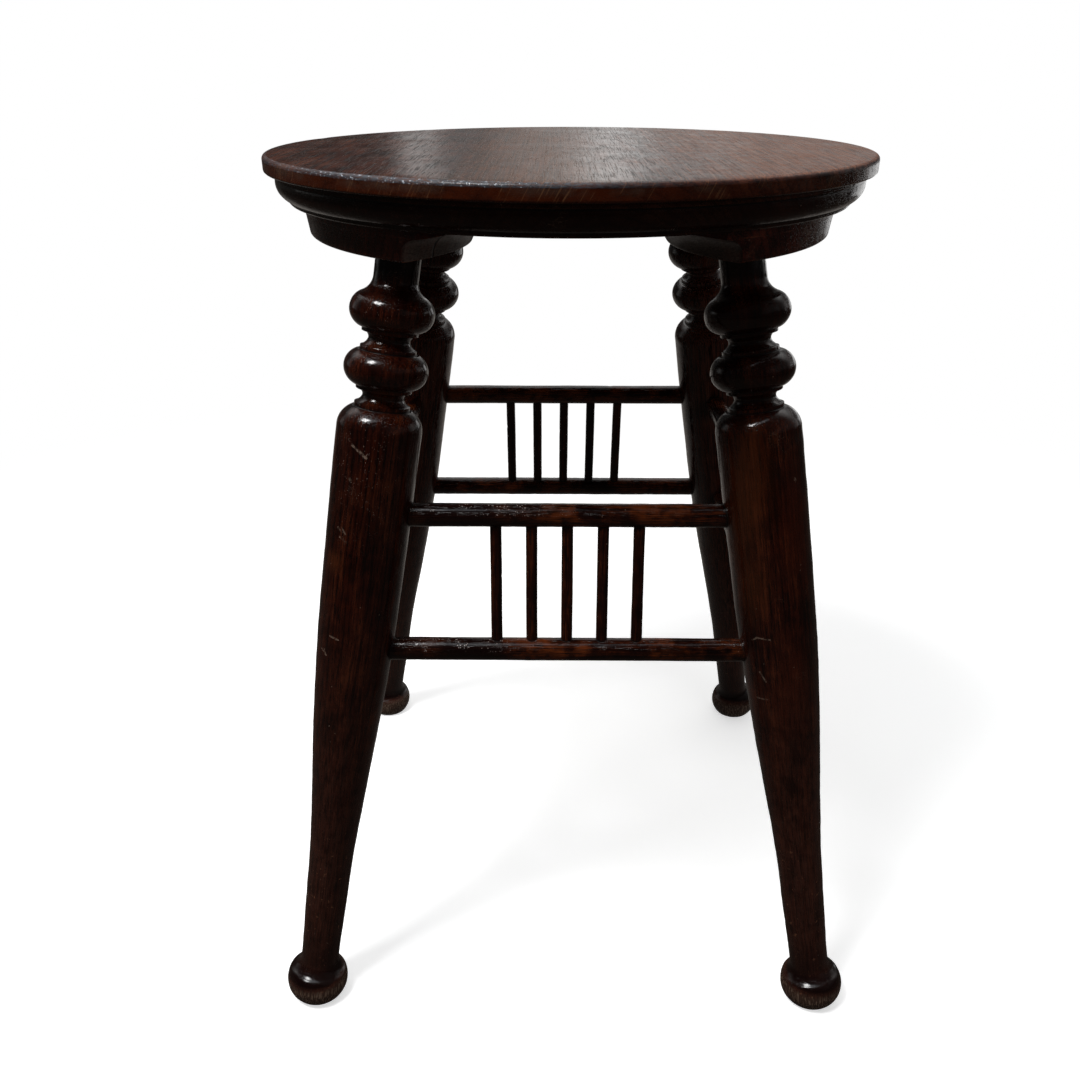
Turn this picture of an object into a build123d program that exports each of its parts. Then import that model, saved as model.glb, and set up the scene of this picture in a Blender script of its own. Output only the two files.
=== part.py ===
"""Round-seat stool with four splayed turned legs and spindle galleries.

Millimetres, +Z up, front towards -Y, origin on the floor under the middle of the seat.
Every piece of wood is a solid of its own and is written to parts/NAME.step.
"""
import os
from math import radians, sqrt, tan

from build123d import *

# ---------------------------------------------------------------- driving dimensions
stool_height = 476.5            # floor to the top of the seat
glue_clearance = 0.05           # radial room between a round tenon and its hole

# seat boards
seat_diameter = 330.0
seat_thickness = 24.5
seam_offset = 49.2              # glue seam of the two boards, left of the middle
top_arris_radius = 2.2
rim_height = 8.7                # upright face of the rim, below it the edge steps in
rim_lower_arris = 0.8
rim_overhang = 4.8              # rim to fillet
fillet_height = 2.7
ovolo_quirk = 0.8               # fillet to the top of the ovolo
ovolo_drop = 10.6
ovolo_run = 4.6
ovolo_bulge = 2.0               # how far the ovolo stands proud of its chord
groove_width = 0.6
groove_depth = 0.8
underside_arris = 0.8
seat_edge_taper = 12.4          # rim radius less the radius of the seat's underside

# bearers
bearer_thickness = 16.6
bearer_inset = 6.6              # inside the edge of the seat's underside
bearer_inner_edge = 50.5        # middle of the stool to the straight inner edge, underneath
bearer_straight_half = 55.0     # half length of the straight inner edge
bearer_end_radius = 87.0        # curve of the inner edge towards each end
bearer_cove_radius = 11.8       # hollow along the lower inner edge
bearer_arris_radius = 1.4       # along the lower edge of the rim

# legs: places and splay
leg_edge_distance = 26.4        # leg axis to the rim of the bearer
leg_splay = 8.92                # lean in the front view and in the side view, degrees
tenon_diameter = 19.0
tenon_end_gap = 0.4             # end of the tenon to the seat board

# legs: turned outline, radii and heights along the leg's own axis
neck_radius = 11.4
neck_length = 13.8
flare_radius = 8.5
bulb_radius = 21.6
bulb_section_radius = 9.7
bulb_waist_radius = 16.0
collar_radius = 14.4
collar_fillet_height = 2.2
collar_cove_height = 7.0
collar_ring_height = 2.3
collar_cove_top_radius = 12.2
collar_cove_waist_radius = 10.6
collar_cove_foot_radius = 13.6
collar_cove_waist_drop = 3.0
shoulder_top_radius = 15.6
shoulder_height = 10.8
shank_top_radius = 22.2
shank_taper = ((0.80, 21.8), (0.62, 20.8), (0.47, 18.3), (0.35, 15.6), (0.225, 13.1), (0.10, 12.0))
ankle_radius = 11.2
ankle_height = 30.0
foot_crease_height = 19.5
foot_radius = 18.1
foot_section_radius = 15.1
foot_belly_height = 11.0

# rails and spindles
upper_rail_height = 301.2
lower_rail_height = 225.3
rail_diameter = 12.7
rail_end_clear = 1.65           # between the crossing rail ends inside a leg
rail_end_gap = 0.5              # glue room at the bottom of a mortise
rail_arris = 0.6
spindle_diameter = 6.2
spindle_pitch = 19.2
spindles_per_side = 5
spindle_tenon_depth = 5.0
spindle_end_gap = 0.4
spindle_arris = 0.4

# screws, bearer to seat
screw_shank_diameter = 4.2
screw_head_diameter = 8.3
screw_head_sink = 0.3
screw_length = 32.0
screw_point_length = 5.0
screw_slot_width = 1.1
screw_slot_depth = 1.0
screw_clearance = 0.1
inner_screw_offset = 19.0       # bearer's inner edge to the inner screws
outer_screw_offset = 22.0       # bearer's rim to the outer screws
inner_screw_spacing = 80.0
outer_screw_spacing = 70.0

# ---------------------------------------------------------------- worked out from the above
seat_radius = seat_diameter / 2
seat_underside = stool_height - seat_thickness
seat_underside_radius = seat_radius - seat_edge_taper
bearer_underside = seat_underside - bearer_thickness
bearer_radius = seat_underside_radius - bearer_inset
leg_centre_top = (bearer_radius - leg_edge_distance) / sqrt(2)
leg_slope = tan(radians(leg_splay))
leg_stretch = sqrt(1 + 2 * leg_slope**2)        # length along the leg for each unit of height
rail_radius = rail_diameter / 2
rail_end_distance = rail_radius + rail_end_clear

SIDES = {"left": -1, "right": 1}
ENDS = {"front": -1, "back": 1}
RAIL_HEIGHTS = {"upper": upper_rail_height, "lower": lower_rail_height}
parts = {}


def leg_centre(height):
    """Distance of a leg's axis from both middle planes, at a height above the floor."""
    return leg_centre_top + leg_slope * (bearer_underside - height)


def rod(start, end, diameter, arris=0.0):
    """A round rod between two points, with small chamfers on its ends."""
    axis = Vector(*end) - Vector(*start)
    foot = (Align.CENTER, Align.CENTER, Align.MIN)
    solid = Plane(origin=start, z_dir=axis) * Cylinder(diameter / 2, axis.length, align=foot)
    if arris:
        solid = chamfer(solid.edges().filter_by(GeomType.CIRCLE), arris)
    return solid


def turned(outline):
    """Revolve an outline, given as edges in radius and height, about the Z axis."""
    return revolve(Plane.XZ * make_face(outline), Axis.Z, 360)


# ---------------------------------------------------------------- seat
def seat_outline():
    """Section of the seat's edge, heights from the seat's underside."""
    rim_foot = seat_thickness - rim_height
    fillet_radius = seat_radius - rim_overhang
    fillet_foot = rim_foot - fillet_height
    ovolo_top = (fillet_radius - ovolo_quirk, fillet_foot)
    ovolo_foot = (ovolo_top[0] - ovolo_run, fillet_foot - ovolo_drop)
    ovolo_middle = (
        (ovolo_top[0] + ovolo_foot[0]) / 2 + ovolo_bulge,
        (ovolo_top[1] + ovolo_foot[1]) / 2 - ovolo_bulge * ovolo_run / ovolo_drop,
    )
    groove_radius = ovolo_foot[0] - groove_depth
    groove_foot = ovolo_foot[1] - groove_width
    edge = Polyline(
        (0, seat_thickness),
        (seat_radius - top_arris_radius, seat_thickness),
    )
    edge += RadiusArc(
        (seat_radius - top_arris_radius, seat_thickness),
        (seat_radius, seat_thickness - top_arris_radius),
        top_arris_radius,
    )
    edge += Polyline(
        (seat_radius, seat_thickness - top_arris_radius),
        (seat_radius, rim_foot + rim_lower_arris),
        (seat_radius - rim_lower_arris, rim_foot),
        (fillet_radius, rim_foot),
        (fillet_radius, fillet_foot),
        ovolo_top,
    )
    edge += ThreePointArc(ovolo_top, ovolo_middle, ovolo_foot)
    edge += Polyline(
        ovolo_foot,
        (groove_radius, ovolo_foot[1]),
        (groove_radius, groove_foot),
        (seat_underside_radius + underside_arris, groove_foot),
        (seat_underside_radius + underside_arris, underside_arris),
        (seat_underside_radius, 0),
        (0, 0),
        (0, seat_thickness),
    )
    return edge


def screw_places(side):
    """Plan positions of one bearer's screws."""
    inner = side * (bearer_inner_edge + inner_screw_offset)
    outer = side * (bearer_radius - outer_screw_offset)
    for end in ENDS.values():
        yield inner, end * inner_screw_spacing / 2
        yield outer, end * outer_screw_spacing / 2


def screw(place, clearance=0.0):
    """A countersunk wood screw driven upwards, or its hole when a clearance is given."""
    head_radius = screw_head_diameter / 2 + clearance
    shank_radius = screw_shank_diameter / 2 + clearance
    head_height = head_radius - shank_radius
    outline = Polyline(
        (0, 0),
        (head_radius, 0),
        (shank_radius, head_height),
        (shank_radius, screw_length - screw_point_length),
        (0, screw_length + clearance),
        (0, 0),
    )
    solid = Pos(*place, bearer_underside + screw_head_sink) * turned(outline)
    if clearance:
        mouth = Cylinder(head_radius, 2 * screw_head_sink)
        return solid + Pos(*place, bearer_underside) * mouth
    slot = Box(2 * screw_head_diameter, screw_slot_width, 2 * screw_slot_depth)
    return solid - Pos(*place, bearer_underside + screw_head_sink) * slot


def make_seat():
    seat = Pos(0, 0, seat_underside) * turned(seat_outline())
    for side in SIDES.values():
        for place in screw_places(side):
            seat -= screw(place, screw_clearance)
    seam = Plane.YZ.offset(-seam_offset)
    parts["seat_board_left"] = split(seat, bisect_by=seam, keep=Keep.BOTTOM)
    parts["seat_board_right"] = split(seat, bisect_by=seam, keep=Keep.TOP)


# ---------------------------------------------------------------- bearers
def bearer_rim():
    """Round disc that bounds both bearers, with its lower arris rounded."""
    edge = Polyline((0, 0), (bearer_radius - bearer_arris_radius, 0))
    edge += RadiusArc(
        (bearer_radius - bearer_arris_radius, 0),
        (bearer_radius, bearer_arris_radius),
        -bearer_arris_radius,
    )
    edge += Polyline(
        (bearer_radius, bearer_arris_radius),
        (bearer_radius, bearer_thickness),
        (0, bearer_thickness),
        (0, 0),
    )
    return turned(edge)


def bearer_plan(reach):
    """Right-hand bearer's inner edge seen from above; reach moves it towards the middle."""
    end_radius = bearer_end_radius + reach
    end_centre = (bearer_inner_edge + bearer_end_radius, bearer_straight_half)
    plan = Pos(end_centre[0], end_centre[1]) * Circle(end_radius)
    plan += Pos(end_centre[0], -end_centre[1]) * Circle(end_radius)
    plan += Pos(end_centre[0], 0) * Rectangle(2 * end_radius, 2 * bearer_straight_half)
    return plan


def cove_cutter():
    """Round cutter that follows the bearer's inner edge and hollows its lower arris."""
    centre_x = bearer_inner_edge + bearer_end_radius
    section_x = bearer_inner_edge - bearer_cove_radius
    cutter = rod(
        (section_x, -bearer_straight_half, bearer_underside),
        (section_x, bearer_straight_half, bearer_underside),
        2 * bearer_cove_radius,
    )
    for end in ENDS.values():
        section = Plane.XZ.offset(-end * bearer_straight_half)
        section *= Pos(section_x, bearer_underside) * Circle(bearer_cove_radius)
        pivot = Axis((centre_x, end * bearer_straight_half, 0), (0, 0, -end))
        cutter += revolve(section, pivot, 90)
    return cutter


def make_bearers():
    block = bearer_rim() & extrude(bearer_plan(bearer_cove_radius), bearer_thickness)
    bearer = Pos(0, 0, bearer_underside) * block
    bearer -= cove_cutter()
    for name, side in SIDES.items():
        piece = bearer if side > 0 else mirror(bearer, Plane.YZ)
        for place in screw_places(side):
            piece -= screw(place, screw_clearance)
        for end in ENDS.values():
            piece -= leg_axis_rod(side, end, 0, stool_height, tenon_diameter + 2 * glue_clearance)
        parts[f"bearer_{name}"] = piece
        screws = Part()
        for place in screw_places(side):
            screws += screw(place)
        parts[f"bearer_screws_{name}"] = screws


# ---------------------------------------------------------------- legs
def leg_axis_rod(side, end, low, high, diameter):
    """A rod along one leg's axis, between two heights above the floor."""
    start = (side * leg_centre(low), end * leg_centre(low), low)
    finish = (side * leg_centre(high), end * leg_centre(high), high)
    return rod(start, finish, diameter)


def collar_edges(top):
    """Fillet, cove and ring of one collar, downwards from its top."""
    cove_top = top - collar_fillet_height
    ring_top = cove_top - collar_cove_height
    foot = ring_top - collar_ring_height
    edges = Polyline(
        (bulb_waist_radius, top),
        (collar_radius, top),
        (collar_radius, cove_top),
        (collar_cove_top_radius, cove_top),
    )
    edges += ThreePointArc(
        (collar_cove_top_radius, cove_top),
        (collar_cove_waist_radius, cove_top - collar_cove_waist_drop),
        (collar_cove_foot_radius, ring_top),
    )
    edges += Polyline(
        (collar_cove_foot_radius, ring_top),
        (collar_radius, ring_top),
        (collar_radius, foot),
    )
    return edges, foot


def leg_outline():
    """Outline of the turning, in radius and height along the leg's own axis."""
    top = bearer_underside * leg_stretch
    bulb_centre_radius = bulb_radius - bulb_section_radius
    bulb_half = sqrt(bulb_section_radius**2 - (bulb_waist_radius - bulb_centre_radius) ** 2)

    # neck, flare and upper bulb: two arcs that touch on the line of their centres
    flare_top = top - neck_length
    arc_distance = bulb_section_radius + flare_radius
    flare_drop = sqrt(arc_distance**2 - (neck_radius + flare_radius - bulb_centre_radius) ** 2)
    upper_bulb = flare_top - flare_drop
    share = bulb_section_radius / arc_distance
    touch = (
        bulb_centre_radius + share * (neck_radius + flare_radius - bulb_centre_radius),
        upper_bulb + share * flare_drop,
    )
    edges = Polyline(
        (0, top + neck_radius),
        (neck_radius, top + neck_radius),
        (neck_radius, flare_top),
    )
    edges += RadiusArc((neck_radius, flare_top), touch, flare_radius)
    edges += ThreePointArc(
        touch, (bulb_radius, upper_bulb), (bulb_waist_radius, upper_bulb - bulb_half)
    )
    collar, collar_foot = collar_edges(upper_bulb - bulb_half)
    edges += collar

    # lower bulb between the two collars
    lower_bulb = collar_foot - bulb_half
    edges += Line((collar_radius, collar_foot), (bulb_waist_radius, collar_foot))
    edges += ThreePointArc(
        (bulb_waist_radius, collar_foot),
        (bulb_radius, lower_bulb),
        (bulb_waist_radius, lower_bulb - bulb_half),
    )
    collar, collar_foot = collar_edges(lower_bulb - bulb_half)
    edges += collar

    # shoulder and tapered shank
    shank_top = collar_foot - shoulder_height
    shank_length = shank_top - ankle_height
    edges += Line((collar_radius, collar_foot), (shoulder_top_radius, collar_foot))
    edges += TangentArc(
        (shank_top_radius, shank_top), (shoulder_top_radius, collar_foot), tangent=(0, 1)
    )
    stations = [(radius, ankle_height + share * shank_length) for share, radius in shank_taper]
    edges += Spline(
        (shank_top_radius, shank_top),
        *stations,
        (ankle_radius, ankle_height),
        tangents=[(0, -1), (0, -1)],
    )

    # foot: a cove down to the crease, then a round section that ends below the floor
    foot_centre_radius = foot_radius - foot_section_radius
    crease_rise = foot_crease_height - foot_belly_height
    crease_radius = foot_centre_radius + sqrt(foot_section_radius**2 - crease_rise**2)
    foot_bottom = foot_belly_height - foot_section_radius
    edges += TangentArc((ankle_radius, ankle_height), (crease_radius, foot_crease_height), tangent=(0, -1))
    edges += ThreePointArc(
        (crease_radius, foot_crease_height),
        (foot_radius, foot_belly_height),
        (foot_centre_radius, foot_bottom),
    )
    edges += Polyline(
        (foot_centre_radius, foot_bottom),
        (0, foot_bottom),
        (0, top + neck_radius),
    )
    return edges


def mortises(side, end):
    """Blind holes for the four rails that meet in one leg."""
    holes = []
    for height in RAIL_HEIGHTS.values():
        centre = leg_centre(height)
        bottom = centre - rail_end_distance + rail_end_gap
        across = ((0, end * centre, height), (side * bottom, end * centre, height))
        along = ((side * centre, 0, height), (side * centre, end * bottom, height))
        holes.append(rod(*across, rail_diameter + 2 * glue_clearance))
        holes.append(rod(*along, rail_diameter + 2 * glue_clearance))
    return holes


def make_legs():
    turning = turned(leg_outline())
    for end_name, end in ENDS.items():
        for side_name, side in SIDES.items():
            floor_point = (side * leg_centre(0), end * leg_centre(0), 0)
            direction = (-side * leg_slope, -end * leg_slope, 1)
            leg = Plane(origin=floor_point, z_dir=direction) * turning
            leg = split(leg, bisect_by=Plane.XY, keep=Keep.TOP)
            leg = split(leg, bisect_by=Plane.XY.offset(bearer_underside), keep=Keep.BOTTOM)
            tenon = leg_axis_rod(
                side, end, bearer_underside - neck_length / 2, stool_height, tenon_diameter
            )
            tenon_top = Plane.XY.offset(seat_underside - tenon_end_gap)
            leg += split(tenon, bisect_by=tenon_top, keep=Keep.BOTTOM)
            for hole in mortises(side, end):
                leg -= hole
            parts[f"leg_{end_name}_{side_name}"] = leg


# ---------------------------------------------------------------- galleries
def gallery_point(turn, offset, height):
    """A point in one gallery's plane; turn is its direction about the Z axis, front being 0."""
    return Vector(offset, -leg_centre(height), height).rotate(Axis.Z, turn)


def gallery_rods(turn):
    """Spindle axes of one gallery, each as its lower end, its upper end and its direction."""
    for number in range(spindles_per_side):
        offset = (number - (spindles_per_side - 1) / 2) * spindle_pitch
        low = gallery_point(turn, offset, lower_rail_height)
        high = gallery_point(turn, offset, upper_rail_height)
        yield low, high, (high - low).normalized()


def make_galleries():
    inset = rail_radius - spindle_tenon_depth
    for name, turn in {"front": 0, "right": 90, "back": 180, "left": 270}.items():
        rails = {}
        for level, height in RAIL_HEIGHTS.items():
            half = leg_centre(height) - rail_end_distance
            start = gallery_point(turn, -half, height)
            finish = gallery_point(turn, half, height)
            rails[level] = rod(start, finish, rail_diameter, rail_arris)
        for number, (low, high, up) in enumerate(gallery_rods(turn), start=1):
            socket = rod(
                low + up * (inset - spindle_end_gap),
                high - up * (inset - spindle_end_gap),
                spindle_diameter + 2 * glue_clearance,
            )
            for level in rails:
                rails[level] -= socket
            parts[f"spindle_{name}_{number}"] = rod(
                low + up * inset, high - up * inset, spindle_diameter, spindle_arris
            )
        for level, rail in rails.items():
            parts[f"rail_{name}_{level}"] = rail


make_seat()
make_bearers()
make_legs()
make_galleries()

os.makedirs("parts", exist_ok=True)
for part_name, piece in parts.items():
    export_step(piece, f"parts/{part_name}.step")
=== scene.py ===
from math import asin, atan2, cos, exp, pi, radians, sin, sqrt, tan

import bmesh
import bpy
import numpy as np
from mathutils import Matrix, Vector
from mathutils.geometry import tessellate_polygon


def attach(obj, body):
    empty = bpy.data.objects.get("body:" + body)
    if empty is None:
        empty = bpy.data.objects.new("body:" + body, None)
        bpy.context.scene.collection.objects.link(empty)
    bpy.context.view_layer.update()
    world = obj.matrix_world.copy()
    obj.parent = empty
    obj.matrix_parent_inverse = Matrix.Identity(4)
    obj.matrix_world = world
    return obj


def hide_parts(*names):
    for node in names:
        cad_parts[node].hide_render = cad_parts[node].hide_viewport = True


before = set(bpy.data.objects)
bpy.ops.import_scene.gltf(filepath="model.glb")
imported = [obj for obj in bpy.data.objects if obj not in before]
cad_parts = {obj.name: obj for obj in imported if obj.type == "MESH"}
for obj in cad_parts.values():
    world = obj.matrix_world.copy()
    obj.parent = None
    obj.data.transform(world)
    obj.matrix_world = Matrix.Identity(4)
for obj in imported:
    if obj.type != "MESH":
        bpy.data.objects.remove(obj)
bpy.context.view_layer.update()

MM = 0.001
scene = bpy.context.scene

# ---------------------------------------------------------------- sizes of the stool, in mm
STOOL_HEIGHT = 476.5
SEAT_R, SEAT_T, SEAM_X = 165.0, 24.5, -49.2
SEAT_Z = STOOL_HEIGHT - SEAT_T
UNDERSIDE_R = SEAT_R - 12.4
BEARER_T, BEARER_R, BEARER_INNER = 16.6, UNDERSIDE_R - 6.6, 50.5
BEARER_HALF, BEARER_END_R, COVE_R, BEARER_ARRIS = 55.0, 87.0, 11.8, 1.4
BEARER_Z = SEAT_Z - BEARER_T
SLOPE = tan(radians(8.92))
STRETCH = sqrt(1 + 2 * SLOPE**2)
LEG_TOP = (BEARER_R - 26.4) / sqrt(2)
UPPER_Z, LOWER_Z = 301.2, 225.3
RAIL_R, RAIL_END = 6.35, 8.0
SPINDLE_R, SPINDLE_PITCH, SPINDLE_INSET = 3.1, 19.2, 1.35
SIDES = {"left": -1, "right": 1}
ENDS = {"front": -1, "back": 1}


def leg_centre(z):
    """Distance of a leg's axis from both middle planes at a height."""
    return LEG_TOP + SLOPE * (BEARER_Z - z)


# ---------------------------------------------------------------- outlines
def arc(cx, cy, r, start, stop, step=0.1):
    """Points on an arc, angles in radians."""
    n = max(3, int(abs(stop - start) * r / step) + 1)
    a = np.linspace(start, stop, n)
    return np.column_stack([cx + r * np.cos(a), cy + r * np.sin(a)])


def along(points, step):
    """The polyline's points at an even spacing."""
    points = np.asarray(points, float)
    gaps = np.hypot(*np.diff(points, axis=0).T)
    s = np.concatenate([[0], np.cumsum(gaps)])
    t = np.linspace(0, s[-1], max(2, int(s[-1] / step) + 1))
    return np.column_stack([np.interp(t, s, points[:, 0]), np.interp(t, s, points[:, 1])])


def softened(points, sigma, step=0.1):
    """A polyline with its corners worn round; its ends stay."""
    n = max(1, int(3 * sigma / step))
    k = np.exp(-0.5 * (np.arange(-n, n + 1) * step / sigma) ** 2)
    k /= k.sum()
    out = np.empty_like(points)
    for i in (0, 1):
        left = 2 * points[0, i] - points[n:0:-1, i]
        right = 2 * points[-1, i] - points[-2:-n - 2:-1, i]
        out[:, i] = np.convolve(np.concatenate([left, points[:, i], right]), k, "valid")
    return out


def proud(points, scale=0.8, full=0.22):
    """How far each point of an outline stands proud (1) or lies in a hollow (-1). Outside is to the left of travel."""
    smooth = softened(points, scale)
    tangent = np.gradient(smooth, axis=0)
    tangent /= np.maximum(np.hypot(*tangent.T), 1e-9)[:, None]
    outside = np.column_stack([-tangent[:, 1], tangent[:, 0]])
    return np.clip(((points - smooth) * outside).sum(axis=1) / full, -1, 1)


def leg_outline():
    """The turning's outline from the top down: radius and height along the leg's axis."""
    top = BEARER_Z * STRETCH
    nr, fr, br, sr, wr, cr = 11.4, 8.5, 21.6, 9.7, 16.0, 14.4
    bc = br - sr
    half = sqrt(sr**2 - (wr - bc) ** 2)
    low = asin(half / sr)
    out = [[(nr, top + 3.2), (nr, top - 13.8)]]
    drop = sqrt((sr + fr) ** 2 - (nr + fr - bc) ** 2)
    c1 = top - 13.8 - drop
    turn = atan2(drop, nr + fr - bc)
    out.append(arc(nr + fr, top - 13.8, fr, pi, pi + turn))
    out.append(arc(bc, c1, sr, turn, -low))

    def collar(y):
        a, b = y - 2.2, y - 9.2
        cove = np.array([(12.2, a), (11.35, a - 1.2), (10.75, a - 2.2), (10.6, a - 3.0), (10.75, a - 3.9), (11.5, a - 5.2), (12.5, a - 6.2), (13.6, b)])
        return [[(cr, y), (cr, a), (12.2, a)], cove, [(cr, b), (cr, b - 2.3)]], b - 2.3

    rings, foot = collar(c1 - half)
    out += rings
    c2 = foot - half
    out.append(arc(bc, c2, sr, low, -low))
    rings, foot = collar(c2 - half)
    out += rings
    shank_top = foot - 10.8
    big = (6.6**2 + 10.8**2) / (2 * 6.6)
    out.append(arc(22.2 - big, shank_top, big, asin(10.8 / big), 0))
    length = shank_top - 30.0
    stations = [(0, 11.2), (0.10, 12.0), (0.225, 13.1), (0.35, 15.6), (0.47, 18.3), (0.62, 20.8), (0.80, 21.8), (1, 22.2)]
    x, y = np.array(stations).T
    slope = np.gradient(y, x)
    slope[0] = slope[-1] = 0
    t = np.linspace(1, 0, 500)
    i = np.clip(np.searchsorted(x, t, "right") - 1, 0, len(x) - 2)
    w = x[i + 1] - x[i]
    u = (t - x[i]) / w
    radius = y[i] * (1 + 2 * u) * (1 - u) ** 2 + slope[i] * w * u * (1 - u) ** 2 + y[i + 1] * u * u * (3 - 2 * u) + slope[i + 1] * w * u * u * (u - 1)
    out.append(np.column_stack([radius, 30 + t * length])[1:])
    # a short flare, then the round shoulder of the bun foot
    lean, low, bead = radians(60), radians(25), 2.6
    bx, by = 3.0 + (15.1 - bead) * cos(low), 11.0 + (15.1 - bead) * sin(low)
    end = (bx + bead * cos(lean), by + bead * sin(lean))
    flare = (end[0] - 11.2) / (1 - cos(lean))
    out.append(arc(11.2 + flare, end[1] + flare * sin(lean), flare, pi, pi + lean))
    out.append(arc(bx, by, bead, lean, low)[1:])
    out.append(arc(3.0, 11.0, 15.1, low, -pi / 2)[1:])
    return np.vstack(out), shank_top


def seat_outline():
    """Section of the seat's edge from the top's middle round to the underside's: radius and height."""
    a = 2.2
    foot = SEAT_T - 8.7
    fr = SEAT_R - 4.8
    ff = foot - 2.7
    o0 = np.array([fr - 0.8, ff])
    o1 = np.array([o0[0] - 4.6, ff - 10.6])
    chord = np.linspace(0, 1, 60)[:, None]
    bulge = 2.0 * (1 - (2 * chord - 1) ** 2)
    normal = np.array([10.6, -4.6]) / sqrt(10.6**2 + 4.6**2)
    ovolo = o0 + (o1 - o0) * chord + normal * bulge
    return np.vstack([
        [(150.0, SEAT_T), (SEAT_R - a, SEAT_T)],
        arc(SEAT_R - a, SEAT_T - a, a, pi / 2, 0),
        [(SEAT_R, foot + 0.8), (SEAT_R - 0.8, foot), (fr, foot), (fr, ff)],
        ovolo,
        [(o1[0] - 0.9, o1[1]), (o1[0] - 0.9, o1[1] - 0.7), (UNDERSIDE_R + 0.8, o1[1] - 0.7), (UNDERSIDE_R + 0.8, 0.8), (UNDERSIDE_R, 0), (140.0, 0)],
    ])


# ---------------------------------------------------------------- meshes
class Wobble:
    """A smooth irregularity over an angle and a length, the same each run."""

    def __init__(self, seed, amplitude, waves=6, shortest=25.0, longest=160.0):
        rng = np.random.default_rng(seed)
        self.turns = rng.integers(0, 4, waves)
        self.length = rng.uniform(shortest, longest, waves)
        self.phase = rng.uniform(0, 2 * pi, (2, waves))
        self.amplitude = rng.uniform(0.3, 1, waves) * amplitude / sqrt(waves)

    def __call__(self, angle, length):
        total = 0
        for k, lam, p, q, a in zip(self.turns, self.length, *self.phase, self.amplitude):
            total = total + a * np.cos(k * angle + p) * np.cos(2 * pi * length / lam + q)
        return total


def mesh_piece(name, points, faces, attributes, nodes, angle=40):
    """A mesh object from points in mm, riding on the stool and standing for its CAD nodes."""
    mesh = bpy.data.meshes.new(name)
    mesh.from_pydata((np.asarray(points) * MM).tolist(), [], faces)
    for key, values in attributes.items():
        values = np.asarray(values, np.float32)
        kind = "FLOAT_VECTOR" if values.ndim == 2 else "FLOAT"
        layer = mesh.attributes.new(key, kind, "POINT")
        layer.data.foreach_set("vector" if values.ndim == 2 else "value", values.ravel())
    return finish_piece(name, mesh, nodes, angle)


def finish_piece(name, mesh, nodes, angle=40):
    mesh.shade_smooth()
    mesh.set_sharp_from_angle(angle=radians(angle))
    piece = bpy.data.objects.new(name, mesh)
    scene.collection.objects.link(piece)
    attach(piece, "root")
    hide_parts(*nodes)
    return piece


def ring_faces(rings, segments, capped=True, closed=True):
    """Quads between rings of points, wound outwards for rings that go down an axis."""
    k = np.arange(segments if closed else segments - 1)
    nxt = (k + 1) % segments
    faces = []
    for i in range(rings - 1):
        a, b = i * segments, (i + 1) * segments
        faces += np.column_stack([a + k, b + k, b + nxt, a + nxt]).tolist()
    if capped:
        faces.append(list(range(segments)))
        faces.append([(rings - 1) * segments + j for j in range(segments - 1, -1, -1)])
    return faces


def axes_for(direction):
    """Three unit vectors, the last along the direction."""
    w = np.array(direction, float)
    w /= np.linalg.norm(w)
    u = np.cross(w, [0, 0, 1.0] if abs(w[2]) < 0.9 else [0, 1.0, 0])
    u /= np.linalg.norm(u)
    return u, np.cross(w, u), w


def to_line(points, start, stop):
    """Distance of points from a line, and how far along it they lie."""
    start, stop = np.asarray(start, float), np.asarray(stop, float)
    w = (stop - start) / np.linalg.norm(stop - start)
    rel = points - start
    t = rel @ w
    return np.linalg.norm(rel - t[:, None] * w, axis=1), t


def grime_and_painted_shade_near(gap, width):
    """Grime and painted shade that gather beside a neighbour, 1 at the joint."""
    return np.exp(-np.maximum(gap, 0) / width)


def gallery_point(turn, offset, z):
    c, s = cos(radians(turn)), sin(radians(turn))
    x, y = offset, -leg_centre(z)
    return np.array([x * c - y * s, x * s + y * c, z])


GALLERIES = {"front": 0, "right": 90, "back": 180, "left": 270}


def rail_line(turn, z):
    half = leg_centre(z) - RAIL_END
    return gallery_point(turn, -half, z), gallery_point(turn, half, z)


def spindle_line(turn, number):
    offset = (number - 3) * SPINDLE_PITCH
    low, high = gallery_point(turn, offset, LOWER_Z), gallery_point(turn, offset, UPPER_Z)
    up = (high - low) / np.linalg.norm(high - low)
    return low + up * SPINDLE_INSET, high - up * SPINDLE_INSET


RAILS = {(name, level): rail_line(turn, z) for name, turn in GALLERIES.items() for level, z in (("upper", UPPER_Z), ("lower", LOWER_Z))}
SPINDLES = {(name, n): spindle_line(turn, n) for name, turn in GALLERIES.items() for n in range(1, 6)}
pieces = {}


# ---------------------------------------------------------------- legs
def leg_profile():
    raw, shank_top = leg_outline()
    dense = along(raw, 0.1)
    worn = softened(dense, 0.20)
    lift = proud(worn)
    h = worn[:, 1]
    s = np.arange(len(worn)) * 0.1
    step = np.where((h > shank_top - 6) | (h < 33), 0.33, 1.6)
    keep, last = [0], 0.0
    for i in range(1, len(worn)):
        if s[i] - last >= step[i]:
            keep.append(i)
            last = s[i]
    keep.append(len(worn) - 1)
    return worn[keep], lift[keep], shank_top


PROFILE, PROFILE_LIFT, SHANK_TOP = leg_profile()
LEG_SEGMENTS = 112


def leg_radius(h):
    order = np.argsort(PROFILE[:, 1])
    return np.interp(h, PROFILE[order, 1], PROFILE[order, 0])


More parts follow.
